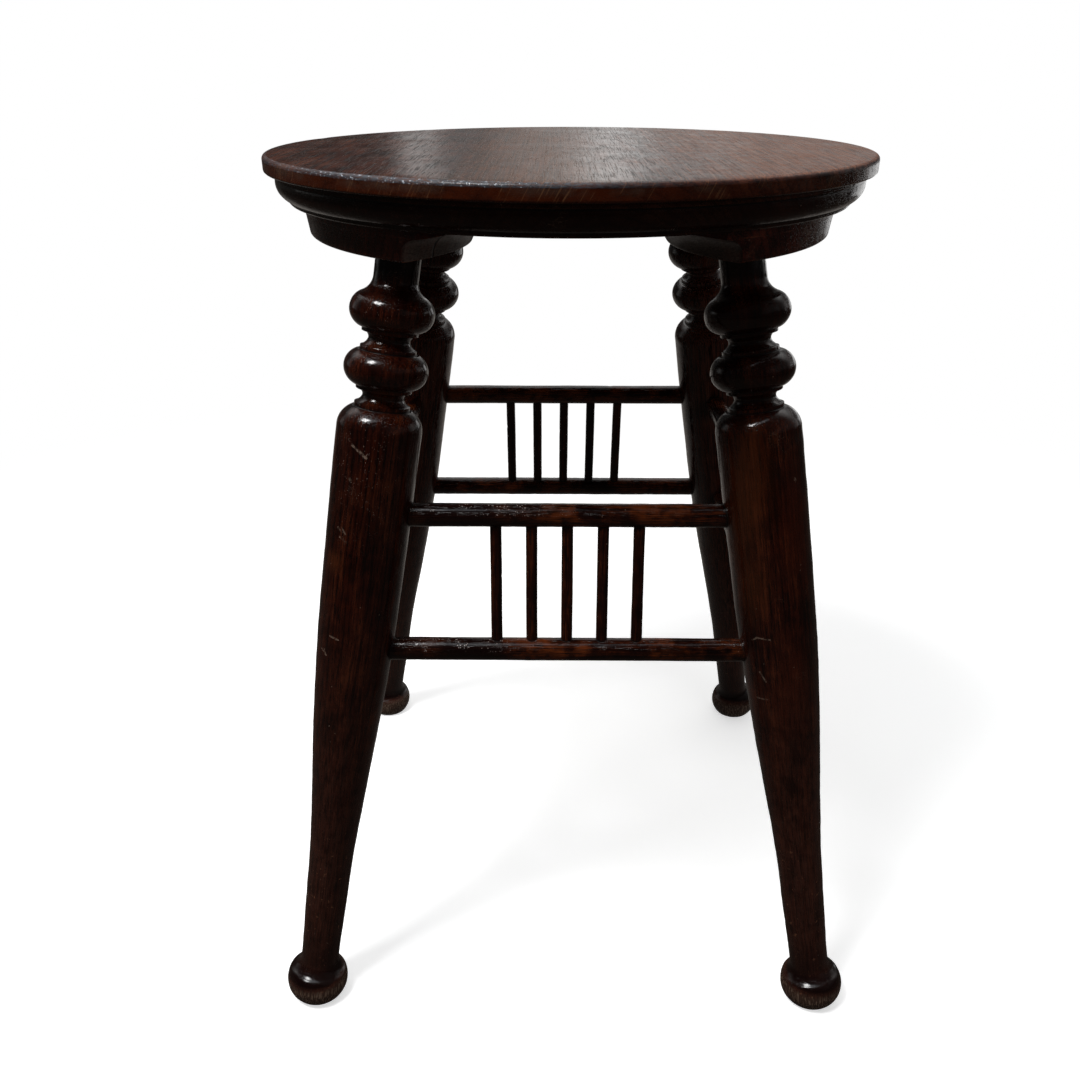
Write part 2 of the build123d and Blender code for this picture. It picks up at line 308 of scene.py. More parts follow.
def make_leg(end_name, end, side_name, side, seed):
    foot = np.array([side * leg_centre(0), end * leg_centre(0), 0.0])
    u, v, w = axes_for((-side * SLOPE, -end * SLOPE, 1))
    theta = np.linspace(0, 2 * pi, LEG_SEGMENTS, endpoint=False)
    top = BEARER_Z * STRETCH
    tenon_top = (SEAT_Z - 0.4) * STRETCH - 2.2
    tenon = np.array([(9.5, tenon_top), (9.5, top + 3.4)])
    r = np.concatenate([tenon[:, 0], PROFILE[:, 0]])[:, None]
    h = np.concatenate([tenon[:, 1], PROFILE[:, 1]])[:, None]
    lift = np.concatenate([[0, 0], PROFILE_LIFT])[:, None] * np.ones_like(theta)
    wobble = Wobble(seed, 0.16)
    shake = Wobble(seed + 50, 0.07, 8, 4, 22)
    rr = r + np.where(h < top - 2, wobble(theta, h) + shake(theta, h), 0) * np.minimum(1, r / 8)
    rr = np.minimum(rr, 22.2 + 0.1)
    x, y = rr * np.cos(theta), rr * np.sin(theta)
    points = (foot + x[..., None] * u + y[..., None] * v + (h * np.ones_like(theta))[..., None] * w).reshape(-1, 3)
    neck = (np.arange(len(r)) >= 2).repeat(LEG_SEGMENTS)
    over = neck & (points[:, 2] > BEARER_Z + 0.15)
    points[over] -= ((points[over, 2] - BEARER_Z - 0.15) / w[2])[:, None] * w
    under = points[:, 2] < 0
    points[under] += (-points[under, 2] / w[2])[:, None] * w
    gap = np.full(len(points), 50.0)
    for (name, level), (a, b) in RAILS.items():
        if name in (end_name, side_name):
            d, t = to_line(points, a, b)
            near = (t > -2) & (t < np.linalg.norm(b - a) + 2)
            gap = np.where(near, np.minimum(gap, d - RAIL_R), gap)
    # darker beside the rails and just under the bearer: grime and painted shade
    joint = np.maximum(grime_and_painted_shade_near(gap, 1.7), grime_and_painted_shade_near(BEARER_Z - points[:, 2], 1.4))
    hh = (h * np.ones_like(theta)).reshape(-1)
    grain = np.column_stack([x.reshape(-1) / 10 + 3 * seed, y.reshape(-1) / 10 + seed, hh / 10])
    # the top of the neck is darkened with painted shade under the bearer
    pieces[f"leg_{end_name}_{side_name}"] = mesh_piece(
        f"leg_{end_name}_{side_name}_turned", points, ring_faces(len(r), LEG_SEGMENTS),
        {"grain": grain, "edge": np.clip(lift, 0, 1).reshape(-1), "hollow": np.clip(-lift, 0, 1).reshape(-1), "joint": joint,
         "low": np.exp(-np.maximum(points[:, 2], 0) / 9.0), "stain": 0.8 * np.clip((hh - top + 15) / 4, 0, 1)},
        [f"leg_{end_name}_{side_name}"])


for seed, (end_name, side_name) in enumerate([("front", "left"), ("front", "right"), ("back", "left"), ("back", "right")], 1):
    make_leg(end_name, ENDS[end_name], side_name, SIDES[side_name], seed)


# ---------------------------------------------------------------- rails and spindles
def make_rod(name, a, b, radius, segments, step, seed, wobble, nicks, gap_at, node, arris):
    """A round stick with small flats, bumps and nicks. nicks: (share along, angle, depth, length, width in radians)."""
    u, v, w = axes_for(b - a)
    length = np.linalg.norm(b - a)
    ends = np.array([0, arris * 0.5, arris])
    t = np.concatenate([ends, np.linspace(arris, length - arris, max(3, int(length / step)))[1:-1], length - ends[::-1]])
    inset = np.interp(np.minimum(t, length - t), [0, arris], [arris, 0])
    theta = np.linspace(0, 2 * pi, segments, endpoint=False)
    T, A = np.meshgrid(t, theta, indexing="ij")
    out = Wobble(seed, wobble, 7, 12, 90)(A, T) + Wobble(seed + 90, wobble * 0.35, 8, 3, 12)(A, T)
    scar = np.zeros_like(T)
    for share, angle, depth, long, wide in nicks:
        turn = np.angle(np.exp(1j * (A - angle)))
        dent = np.exp(-((T - share * length) / long) ** 2 - (turn / wide) ** 2)
        out = out - depth * dent
        scar = np.maximum(scar, dent * (depth > 0))
    r = radius - inset[:, None] + out
    x, y = r * np.cos(A), r * np.sin(A)
    points = (a + x[..., None] * u + y[..., None] * v + T[..., None] * w).reshape(-1, 3)
    normal = (np.cos(A)[..., None] * u + np.sin(A)[..., None] * v).reshape(-1, 3)
    grain = np.column_stack([x.reshape(-1) / 10 + 1.7 * seed, y.reshape(-1) / 10 + 0.9 * seed, T.reshape(-1) / 10 + 5 * seed])
    up = np.clip(normal[:, 2], 0, 1)
    faces = ring_faces(len(t), segments)
    faces = [f[::-1] for f in faces]
    pieces[node] = mesh_piece(name, points, faces, {"grain": grain, "edge": up, "hollow": np.zeros(len(points)), "scar": scar.reshape(-1), "joint": gap_at(points), "low": np.zeros(len(points)), "stain": np.zeros(len(points))}, [node])


def rail_gap(name, level):
    turn = GALLERIES[name]
    z = UPPER_Z if level == "upper" else LOWER_Z

    # grime and painted shade beside the spindles and the legs
    def gap(points):
        out = np.zeros(len(points))
        for n in range(1, 6):
            a, b = SPINDLES[name, n]
            d, t = to_line(points, a, b)
            inside = (points[:, 2] - z) * (1 if level == "lower" else -1) > 0
            out = np.maximum(out, np.where(inside, grime_and_painted_shade_near(d - SPINDLE_R, 0.8), 0))
        for sx in (-1, 1):
            for sy in (-1, 1):
                foot = np.array([sx * leg_centre(0), sy * leg_centre(0), 0.0])
                head = np.array([sx * LEG_TOP, sy * LEG_TOP, BEARER_Z])
                d, t = to_line(points, foot, head)
                out = np.maximum(out, grime_and_painted_shade_near(d - leg_radius(t), 1.3))
        return out

    return gap


def spindle_gap(name):
    # grime and painted shade beside the rails
    def gap(points):
        out = np.zeros(len(points))
        for level in ("upper", "lower"):
            a, b = RAILS[name, level]
            d, t = to_line(points, a, b)
            out = np.maximum(out, grime_and_painted_shade_near(d - RAIL_R, 0.9))
        return out

    return gap


rng = np.random.default_rng(11)
for i, ((name, level), (a, b)) in enumerate(RAILS.items()):
    nicks = [(rng.uniform(0.1, 0.9), rng.uniform(0, 2 * pi), rng.uniform(0.08, 0.3), rng.uniform(0.6, 2.5), rng.uniform(0.12, 0.4)) for _ in range(7)]
    if (name, level) == ("front", "lower"):
        nicks.append((0.437, -pi / 2, -0.35, 1.0, 0.25))
    make_rod(f"rail_{name}_{level}_turned", a, b, RAIL_R, 60, 0.9, 20 + i, 0.10, nicks, rail_gap(name, level), f"rail_{name}_{level}", 0.6)
for i, ((name, n), (a, b)) in enumerate(SPINDLES.items()):
    nicks = [(rng.uniform(0.15, 0.85), rng.uniform(0, 2 * pi), rng.uniform(0.08, 0.28), rng.uniform(0.4, 1.2), rng.uniform(0.2, 0.5)) for _ in range(4)]
    make_rod(f"spindle_{name}_{n}_turned", a, b, SPINDLE_R, 40, 0.7, 60 + i, 0.07, nicks, spindle_gap(name), f"spindle_{name}_{n}", 0.4)


# ---------------------------------------------------------------- seat boards
def make_seat():
    segments = 640
    edge = softened(along(seat_outline(), 0.1), 0.2)
    edge = edge[(edge[:, 0] > 150.5) | (edge[:, 1] > 1) & (edge[:, 0] > 150.5) | (edge[:, 1] < 1) & (edge[:, 0] > 141)]
    lift = proud(edge, 1.0, 0.25)
    pick = np.unique(np.concatenate([np.arange(0, len(edge), 4), [len(edge) - 1]]))
    edge, lift = edge[pick], lift[pick]
    top = np.column_stack([np.linspace(0.02, 150, 26), np.full(26, SEAT_T)])
    under = np.column_stack([np.linspace(140, 0.02, 24), np.zeros(24)])
    outline = np.vstack([top, edge, under])
    lift = np.concatenate([np.zeros(26), lift, np.zeros(24)])
    theta = np.linspace(0, 2 * pi, segments, endpoint=False)
    r, z = outline[:, 0][:, None] * np.ones_like(theta), outline[:, 1][:, None] * np.ones_like(theta)
    rng = np.random.default_rng(5)
    # dents and nicks along the arris and the rim
    edge_points = outline[26:26 + len(edge)]
    for _ in range(90):
        j = rng.integers(0, len(edge_points))
        if edge_points[j, 1] < 12:
            continue
        angle, size, depth = rng.uniform(0, 2 * pi), rng.uniform(0.5, 2.4), rng.uniform(0.05, 0.30)
        turn = np.angle(np.exp(1j * (theta - angle))) * SEAT_R
        away = (r - edge_points[j, 0]) ** 2 + (z - edge_points[j, 1]) ** 2
        dent = depth * np.exp(-away / size**2 - (turn / (size * rng.uniform(0.6, 2.5))) ** 2)
        r = r - dent * 0.7
        z = z - dent * 0.7 * (outline[:, 1][:, None] > 18)
    wobble = Wobble(3, 0.10, 6, 30, 200)
    r = r + np.minimum(0, wobble(theta, z * 3) - 0.05) * (r > 120)
    x, y = r * np.cos(theta), r * np.sin(theta)
    dish = (z > SEAT_T - 0.5) * (0.28 * np.exp(-((r / 95) ** 2)) + 0.03 * (1 + np.cos(x / 5.2 + 1.3 * np.sin(y / 60))) * (r < 160))
    ease = 0.40 * np.clip((r - 154.5) / 9.0, 0, 1) ** 2 * np.clip((z - SEAT_T + 5) / 5, 0, 1)
    z = z - dish - ease
    points = np.column_stack([x.reshape(-1), y.reshape(-1), z.reshape(-1) + SEAT_Z])
    n = len(points)
    full = bpy.data.meshes.new("seat")
    full.from_pydata((points * MM).tolist(), [], ring_faces(len(outline), segments))
    values = {"edge": np.clip(lift, 0, 1)[:, None] * np.ones_like(theta), "hollow": np.clip(-lift, 0, 1)[:, None] * np.ones_like(theta)}
    values["joint"] = np.exp(-np.abs(x - SEAM_X) / 0.5)
    values["low"] = np.zeros(n)
    # painted shade under the rim: the moulding, the fillet and the underside's edge are darkened
    values["stain"] = np.interp(outline[:, 1], [0, 13.0, 13.2, SEAT_T - 8.9, SEAT_T - 8.0, SEAT_T], [0.75, 0.85, 0.6, 0.5, 0.15, 0.0])[:, None] * (outline[:, 0] > 141)[:, None] * np.ones_like(theta)
    for key, value in values.items():
        full.attributes.new(key, "FLOAT", "POINT").data.foreach_set("value", np.asarray(value, np.float32).ravel())
    for name, side, offset in (("left", -1, (7.0, 3.0, 11.0)), ("right", 1, (0.0, 0.0, 0.0))):
        bm = bmesh.new()
        bm.from_mesh(full)
        for shift in (0.9, 0.35):
            bmesh.ops.bisect_plane(bm, geom=bm.verts[:] + bm.edges[:] + bm.faces[:], plane_co=((SEAM_X + side * shift) * MM, 0, 0), plane_no=(1, 0, 0), dist=1e-7)
        cut = bmesh.ops.bisect_plane(bm, geom=bm.verts[:] + bm.edges[:] + bm.faces[:], plane_co=(SEAM_X * MM, 0, 0), plane_no=(side, 0, 0), clear_inner=True, dist=1e-7)
        rim = [e for e in cut["geom_cut"] if isinstance(e, bmesh.types.BMEdge)]
        bm.normal_update()
        joint = bm.verts.layers.float["joint"]
        for vert in bm.verts:
            away = abs(vert.co.x / MM - SEAM_X)
            vert[joint] = exp(-away / 0.5) * (1.0 if vert.co.z / MM < SEAT_T - 2.0 else 0.10)
            if away < 0.02:
                normal = vert.normal.copy()
                normal.x = 0
                if normal.length > 0.1:
                    vert.co -= normal.normalized() * 0.05 * MM
        bmesh.ops.edgenet_fill(bm, edges=rim)
        mesh = bpy.data.meshes.new(f"seat_board_{name}_worn")
        bm.to_mesh(mesh)
        bm.free()
        co = np.empty(len(mesh.vertices) * 3, np.float32)
        mesh.vertices.foreach_get("co", co)
        co = co.reshape(-1, 3) * 100
        grain = np.column_stack([co[:, 0] + offset[0], co[:, 2] - SEAT_Z / 10 + offset[1], co[:, 1] + offset[2]])
        mesh.attributes.new("grain", "FLOAT_VECTOR", "POINT").data.foreach_set("vector", grain.astype(np.float32).ravel())
        pieces[f"seat_board_{name}"] = finish_piece(f"seat_board_{name}_worn", mesh, [f"seat_board_{name}"], 50)
    bpy.data.meshes.remove(full)


make_seat()


# ---------------------------------------------------------------- bearers
def bearer_loop(z, side, inset=0.0, n_arc=150, n_end=60, n_straight=70):
    """Outline of a bearer at a height above its underside, anticlockwise for the right-hand one."""
    reach = COVE_R - sqrt(max(COVE_R**2 - min(z, COVE_R) ** 2, 0.0)) - inset
    a = BEARER_ARRIS
    outer = BEARER_R - inset - 2.6 * (1 - z / BEARER_T) - (a - sqrt(a * a - (a - z) ** 2) if z < a else 0)
    er = BEARER_END_R + reach
    cx, cy = BEARER_INNER + BEARER_END_R, BEARER_HALF
    d = sqrt(cx * cx + cy * cy)
    base = atan2(cy, cx)
    spread = (outer**2 + d * d - er * er) / (2 * outer * d)
    corner_angle = base + np.arccos(np.clip(spread, -1, 1))
    corner = np.array([outer * cos(corner_angle), outer * sin(corner_angle)])
    rim_angles = np.linspace(-corner_angle, corner_angle, n_arc)
    rim = np.column_stack([outer * np.cos(rim_angles), outer * np.sin(rim_angles)])
    start = atan2(corner[1] - cy, corner[0] - cx)
    end_angles = np.linspace(start, pi, n_end)[1:]
    curve = np.column_stack([cx + er * np.cos(end_angles), cy + er * np.sin(end_angles)])
    line = np.column_stack([np.full(n_straight, BEARER_INNER - reach), np.linspace(cy, -cy, n_straight)])[1:-1]
    other = curve[::-1] * [1, -1]
    loop = np.vstack([rim, curve, line, other[:-1]])
    return loop * [side, 1]


def screw_sinks(rim, rim_start, start, side):
    """The underside's face with a countersunk mouth for each screw: more points, and faces over the rim's and these points."""
    turn = np.linspace(0, 2 * pi, 40, endpoint=False)
    n = len(turn)
    points, faces, holes = [], [], []
    for x, y in ((69.5, -40.0), (69.5, 40.0), (124.0, -35.0), (124.0, 35.0)):
        first = start + len(points) * n
        for radius, z in ((4.25, 0.0), (4.25, 0.3), (3.15, 1.4)):
            points.append(np.column_stack([side * x + radius * np.cos(turn), y + radius * np.sin(turn), np.full(n, z)]))
        holes.append(([Vector((*p[:2], 0)) for p in points[-3]], first))
        for ring in (first, first + n):
            faces += [[ring + k, ring + n + k, ring + n + (k + 1) % n, ring + (k + 1) % n] for k in range(n)]
        faces.append([first + 2 * n + k for k in range(n - 1, -1, -1)])
    index = [rim_start + k for k in range(len(rim))]
    outline = [Vector((*p[:2], 0)) for p in rim]
    for hole, first in holes:
        index += [first + k for k in range(n)]
    spots = outline + [p for hole, first in holes for p in hole]
    for a, b, c in tessellate_polygon([outline] + [hole for hole, first in holes]):
        down = (spots[b] - spots[a]).cross(spots[c] - spots[a]).z < 0
        faces.append([index[a], index[b], index[c]] if down else [index[a], index[c], index[b]])
    return np.vstack(points), faces


def make_bearer(name, side):
    heights = np.concatenate([[0.0, 0.25, 0.6, 1.0, 1.4], np.linspace(1.9, 10.6, 24), [11.0, 11.3, 11.5, 11.65, 11.75, 11.8, 12.1, 12.6, 13.6, 14.8, 15.8, 16.3, 16.6]])[::-1]
    loops, lift = [], []
    for z in heights:
        inset = 0.22 if z in (0.0, 16.6) else 0.06 if z in (0.25, 16.3, 11.8, 11.75) else 0.0
        loops.append(np.column_stack([bearer_loop(z, side, inset), np.full(150 + 59 + 68 + 58, z)]))
        lift.append(1.0 if z < 0.3 or z > 16.2 else 0.8 if 11.6 < z < 12.2 else 0.35 if z < 1.1 else 0.0)
    for inset in (1.2, 4.0, 7.0):
        loops.append(np.column_stack([bearer_loop(0.0, side, inset), np.full(len(loops[0]), 0.0)]))
        lift.append(0.0)
    segments = len(loops[0])
    grid = np.array(loops)
    s = np.linspace(0, 2 * pi, segments, endpoint=False)
    sway = Wobble(31 + side, 0.12, 8, 20, 80)
    for i, loop in enumerate(grid[:-3]):
        away = loop[:, :2] - [side * 95, 0]
        away /= np.linalg.norm(away, axis=1)[:, None]
        loop[:, :2] -= away * np.abs(sway(s * 3, loop[:, 2] * 2))[:, None]
    sinks, sink_faces = screw_sinks(grid[-1], (len(grid) - 1) * segments, len(grid) * segments, side)
    points = np.vstack([grid.reshape(-1, 3), sinks])
    lift = np.concatenate([np.repeat(lift, segments), np.zeros(len(sinks))])
    # grime and painted shade just under the seat and around the legs' heads
    under_seat = np.where(points[:, 2] > 12, np.exp(-(16.6 - points[:, 2]) / 1.2), 0)
    gap = np.full(len(points), 50.0)
    for end in (-1, 1):
        d = np.hypot(points[:, 0] - side * LEG_TOP, points[:, 1] - end * LEG_TOP) - 11.6
        gap = np.where(points[:, 2] < 0.1, np.minimum(gap, d), gap)
    gap[-len(sinks):] = 0.0
    inner = (np.arange(segments) >= 150)[None, :] * np.ones((len(grid), 1))
    inner = np.concatenate([inner.reshape(-1), np.zeros(len(sinks))])
    cove = inner * ((points[:, 2] < 11.8) & (points[:, 2] > 0.01))
    grain = np.column_stack([points[:, 0] / 10 + 20 + 5 * side, points[:, 2] / 10 + 1.5, points[:, 1] / 10 + 7 * side])
    points[:, 2] += BEARER_Z
    faces = ring_faces(len(grid), segments)[:-1]
    if side < 0:
        faces = [f[::-1] for f in faces]
    faces += sink_faces
    pieces[f"bearer_{name}"] = mesh_piece(
        f"bearer_{name}_worn", points, faces,
        {"grain": grain, "edge": lift, "hollow": np.zeros(len(points)), "joint": np.maximum(under_seat, grime_and_painted_shade_near(gap, 1.5)), "cove": cove, "low": np.zeros(len(points)), "stain": np.zeros(len(points))},
        [f"bearer_{name}"], 35)


for name, side in SIDES.items():
    make_bearer(name, side)


# ---------------------------------------------------------------- materials
class Graph:
    """Short names for building a node tree."""

    def __init__(self, tree):
        self.tree = tree

    def node(self, kind, inputs=None, **settings):
        node = self.tree.nodes.new(kind)
        for key, value in settings.items():
            setattr(node, key, value)
        for key, value in (inputs or {}).items():
            self.put(node.inputs[key], value)
        return node

    def put(self, socket, value):
        if isinstance(value, bpy.types.NodeSocket):
            self.tree.links.new(value, socket)
        else:
            socket.default_value = value

    def math(self, operation, a, b=0.0, c=0.0, clamp=False):
        return self.node("ShaderNodeMath", {0: a, 1: b, 2: c}, operation=operation, use_clamp=clamp).outputs[0]

    def add(self, a, b):
        return self.math("ADD", a, b)

    def mul(self, a, b):
        return self.math("MULTIPLY", a, b)

    def vector(self, operation, a, b=(0, 0, 0), output=0):
        return self.node("ShaderNodeVectorMath", {0: a, 1: b}, operation=operation).outputs[output]

    def span(self, value, low, high, out_low=0.0, out_high=1.0, smooth=True):
        kind = "SMOOTHSTEP" if smooth else "LINEAR"
        return self.node("ShaderNodeMapRange", {"Value": value, "From Min": low, "From Max": high, "To Min": out_low, "To Max": out_high}, interpolation_type=kind).outputs[0]

    def noise(self, vector, scale, detail=2.0, roughness=0.5, distortion=0.0):
        return self.node("ShaderNodeTexNoise", {"Vector": vector, "Scale": scale, "Detail": detail, "Roughness": roughness, "Distortion": distortion}).outputs["Fac"]

    def stretched(self, vector, scales):
        return self.vector("MULTIPLY", vector, scales)

    def mix(self, factor, a, b, blend="MIX"):
        node = self.node("ShaderNodeMix", data_type="RGBA", blend_type=blend, clamp_factor=True)
        self.put(node.inputs[0], factor)
        self.put(node.inputs[6], a)
        self.put(node.inputs[7], b)
        return node.outputs[2]

    def attribute(self, name, output="Fac"):
        return self.node("ShaderNodeAttribute", attribute_name=name, attribute_type="GEOMETRY").outputs[output]

    def split(self, vector):
        return self.node("ShaderNodeSeparateXYZ", {0: vector}).outputs

    def stroke(self, place, a, b, width):
        """1 on a straight scratch between two points, in mm, 0 off it."""
        a, b = np.array(a, float) * MM, np.array(b, float) * MM
        run = b - a
        rel = self.vector("SUBTRACT", place, tuple(a))
        t = self.math("DIVIDE", self.vector("DOT_PRODUCT", rel, tuple(run), 1), float(run @ run), clamp=True)
        foot = self.node("ShaderNodeVectorMath", {0: tuple(run), 3: t}, operation="SCALE").outputs[0]
        gap = self.vector("DISTANCE", rel, foot, 1)
        return self.span(gap, width * 0.35 * MM, width * MM, 1.0, 0.0)


def rgba(r, g, b):
    return (r, g, b, 1.0)


def oak(name, dark, mid, light, worn, pith, tilt, rings, roughness, coat, run=1.0, wear=0.6, contrast=1.0, speck=0.3, scratches=(), extras=None):
    """Dark stained oak. Distances along the grain are in cm; run stretches the figure along it."""
    material = bpy.data.materials.new(name)
    material.use_nodes = True
    tree = material.node_tree
    tree.nodes.clear()
    g = Graph(tree)
    grain = g.attribute("grain", "Vector")
    place = g.node("ShaderNodeTexCoord").outputs["Object"]
    edge, hollow, joint, low, stain = (g.attribute(key) for key in ("edge", "hollow", "joint", "low", "stain"))
    centred = lambda value, gain: g.math("MULTIPLY_ADD", value, gain, -0.5 * gain)

    # growth rings about a pith that runs a little out of line with the piece
    bend = g.noise(g.stretched(grain, (0.45, 0.45, 0.06 * run)), 1.0, 2.0, 0.5)
    fine_bend = g.noise(g.stretched(grain, (2.0, 2.0, 0.22 * run)), 1.0, 2.0, 0.5)
    x, y, z = g.split(g.vector("SUBTRACT", grain, pith))
    x = g.math("MULTIPLY_ADD", z, tilt[0], x)
    y = g.math("MULTIPLY_ADD", z, tilt[1], y)
    radius = g.math("SQRT", g.add(g.mul(x, x), g.mul(y, y)))
    radius = g.math("MULTIPLY_ADD", bend, 0.9, radius)
    radius = g.math("MULTIPLY_ADD", fine_bend, 0.12, radius)
    phase = g.math("FRACT", g.mul(radius, rings))
    early = g.math("MAXIMUM", g.span(phase, 0.0, 0.45, 1.0, 0.0), g.span(phase, 0.88, 1.0, 0.0, 1.0))
    year = g.node("ShaderNodeTexNoise", {"W": g.mul(radius, rings * 0.37), "Scale": 1.0, "Detail": 1.0}, noise_dimensions="1D").outputs["Fac"]

    # fibres, pores, and the stain's own clouds
    fibre = g.noise(g.stretched(grain, (13.0, 13.0, 0.55 * run)), 1.0, 3.0, 0.70)
    coarse = g.noise(g.stretched(grain, (3.0, 3.0, 0.22 * run)), 1.0, 2.0, 0.5)
    pore_field = g.noise(g.stretched(grain, (24.0, 24.0, 1.5 * run)), 1.0, 1.0, 0.4)
    pores = g.span(g.math("MULTIPLY_ADD", early, 0.08, pore_field), 0.60, 0.67)
    blotch = g.noise(g.stretched(grain, (0.7, 0.7, 0.20)), 1.0, 3.0, 0.55)
    cloud = g.noise(place, 38.0, 4.0, 0.6)
    patch = g.noise(place, 120.0, 3.0, 0.55)
    spatter = g.noise(place, 420.0, 2.0, 0.6)
    fine = g.noise(place, 1500.0, 1.0, 0.5)

    tone = g.add(centred(fibre, 1.35 * contrast), centred(coarse, 0.55 * contrast))
    tone = g.add(tone, g.add(centred(blotch, 1.4), centred(patch, 0.9)))
    tone = g.add(tone, centred(year, 0.5 * contrast))
    tone = g.math("MULTIPLY_ADD", early, -0.16 * contrast, g.add(tone, 0.52))
    colour = g.mix(g.span(tone, 0.10, 0.55), rgba(*dark), rgba(*mid))
    colour = g.mix(g.span(tone, 0.50, 0.95), colour, rgba(*light))
    colour = g.mix(g.mul(pores, 0.85), colour, rgba(dark[0] * 0.3, dark[1] * 0.3, dark[2] * 0.3))

    # wear on what stands proud; grime and painted shade in what lies deep and at joints; painted shade under overhangs
    scuff = g.add(centred(cloud, 1.7), g.mul(edge, wear))
    scuff = g.add(scuff, centred(fibre, 0.9))
    scuff = g.span(scuff, 0.26, 0.72)
    colour = g.mix(g.mul(scuff, 0.8), colour, rgba(*worn))
    # painted shade: darker and glossier under the seat's rim and at the top of the legs under the bearers
    colour = g.mix(stain, colour, rgba(dark[0] * 0.35, dark[1] * 0.35, dark[2] * 0.4))
    # darker in hollows and beside joints: grime and painted shade
    grime_and_painted_shade = g.math("MAXIMUM", g.span(g.math("MULTIPLY_ADD", cloud, 0.5, hollow), 0.35, 1.0), g.span(joint, 0.25, 0.85))
    colour = g.mix(g.mul(grime_and_painted_shade, 0.9), colour, rgba(0.0016, 0.0010, 0.0008))

    # dust specks, hairline scratches and single marks
    cells = g.node("ShaderNodeTexVoronoi", {"Vector": place, "Scale": 330.0, "Randomness": 1.0}, feature="F1").outputs
    sparse = g.math("GREATER_THAN", g.split(cells["Color"])[0], 1.0 - 0.16 * speck)
    dust = g.mul(g.span(cells["Distance"], 0.08, 0.15, 1.0, 0.0), sparse)
    hair_field = g.noise(g.vector("ADD", g.stretched(place, (170.0, 900.0, 260.0)), (3.0, 7.0, 1.0)), 1.0, 1.0, 0.5, 0.6)
    hair = g.mul(g.span(g.math("ABSOLUTE", g.math("SUBTRACT", hair_field, 0.5)), 0.0, 0.018, 1.0, 0.0), g.span(cloud, 0.58, 0.68))
    pale = g.math("MAXIMUM", g.mul(dust, 0.5), g.mul(hair, 0.2))
    for a, b, width, strength in scratches:
        mark = g.stroke(place, a, b, width)
        mark = g.mul(mark, g.span(spatter, 0.40, 0.60, 0.10, 0.85))
        pale = g.math("MAXIMUM", pale, g.mul(mark, strength))
    colour = g.mix(pale, colour, rgba(0.20, 0.14, 0.105))

    # relief in mm, and gloss
    height = g.math("MULTIPLY_ADD", pores, -0.030, g.mul(fibre, 0.020))
    height = g.math("MULTIPLY_ADD", fine, 0.016, height)
    height = g.math("MULTIPLY_ADD", spatter, 0.016, height)
    height = g.math("MULTIPLY_ADD", pale, -0.04, height)
    height = g.math("MULTIPLY_ADD", g.noise(place, 75.0, 2.0, 0.5), 0.30, height)
    rough = g.add(centred(cloud, 0.30), roughness)
    rough = g.math("MULTIPLY_ADD", scuff, 0.08, rough)
    rough = g.math("MULTIPLY_ADD", grime_and_painted_shade, 0.25, rough)
    rough = g.math("MULTIPLY_ADD", pores, 0.15, rough)
    rough = g.math("MULTIPLY_ADD", stain, -0.10, rough)
    rough = g.add(rough, centred(spatter, 0.22))
    rough = g.math("MAXIMUM", g.math("MULTIPLY_ADD", pale, 0.3, rough), 0.10)
    shade = {"colour": colour, "height": height, "rough": rough, "dark": dark}
    if extras:
        extras(g, place, grain, shade, dict(edge=edge, fibre=fibre, cloud=cloud, patch=patch, spatter=spatter, scuff=scuff, stain=stain))
    relief = g.node("ShaderNodeBump", {"Height": shade["height"], "Strength": 1.0, "Distance": MM}).outputs[0]
    surface = g.node("ShaderNodeBsdfPrincipled", {"Base Color": shade["colour"], "Roughness": shade["rough"], "Normal": relief, "Specular IOR Level": 0.2, "Coat Weight": coat, "Coat Roughness": 0.12, "Coat Normal": relief, "IOR": 1.5})
    g.node("ShaderNodeOutputMaterial", {"Surface": surface.outputs[0]})
    return material


def near_spot(g, place, spot, across, along):
    """1 at a spot in mm, falling to 0 at the given reach across and up."""
    away = g.vector("SUBTRACT", place, tuple(v * MM for v in spot))
    away = g.stretched(away, (1 / (across * MM), 1 / (across * MM), 1 / (along * MM)))
    return g.span(g.vector("LENGTH", away, output=1), 0.0, 1.0, 1.0, 0.0)


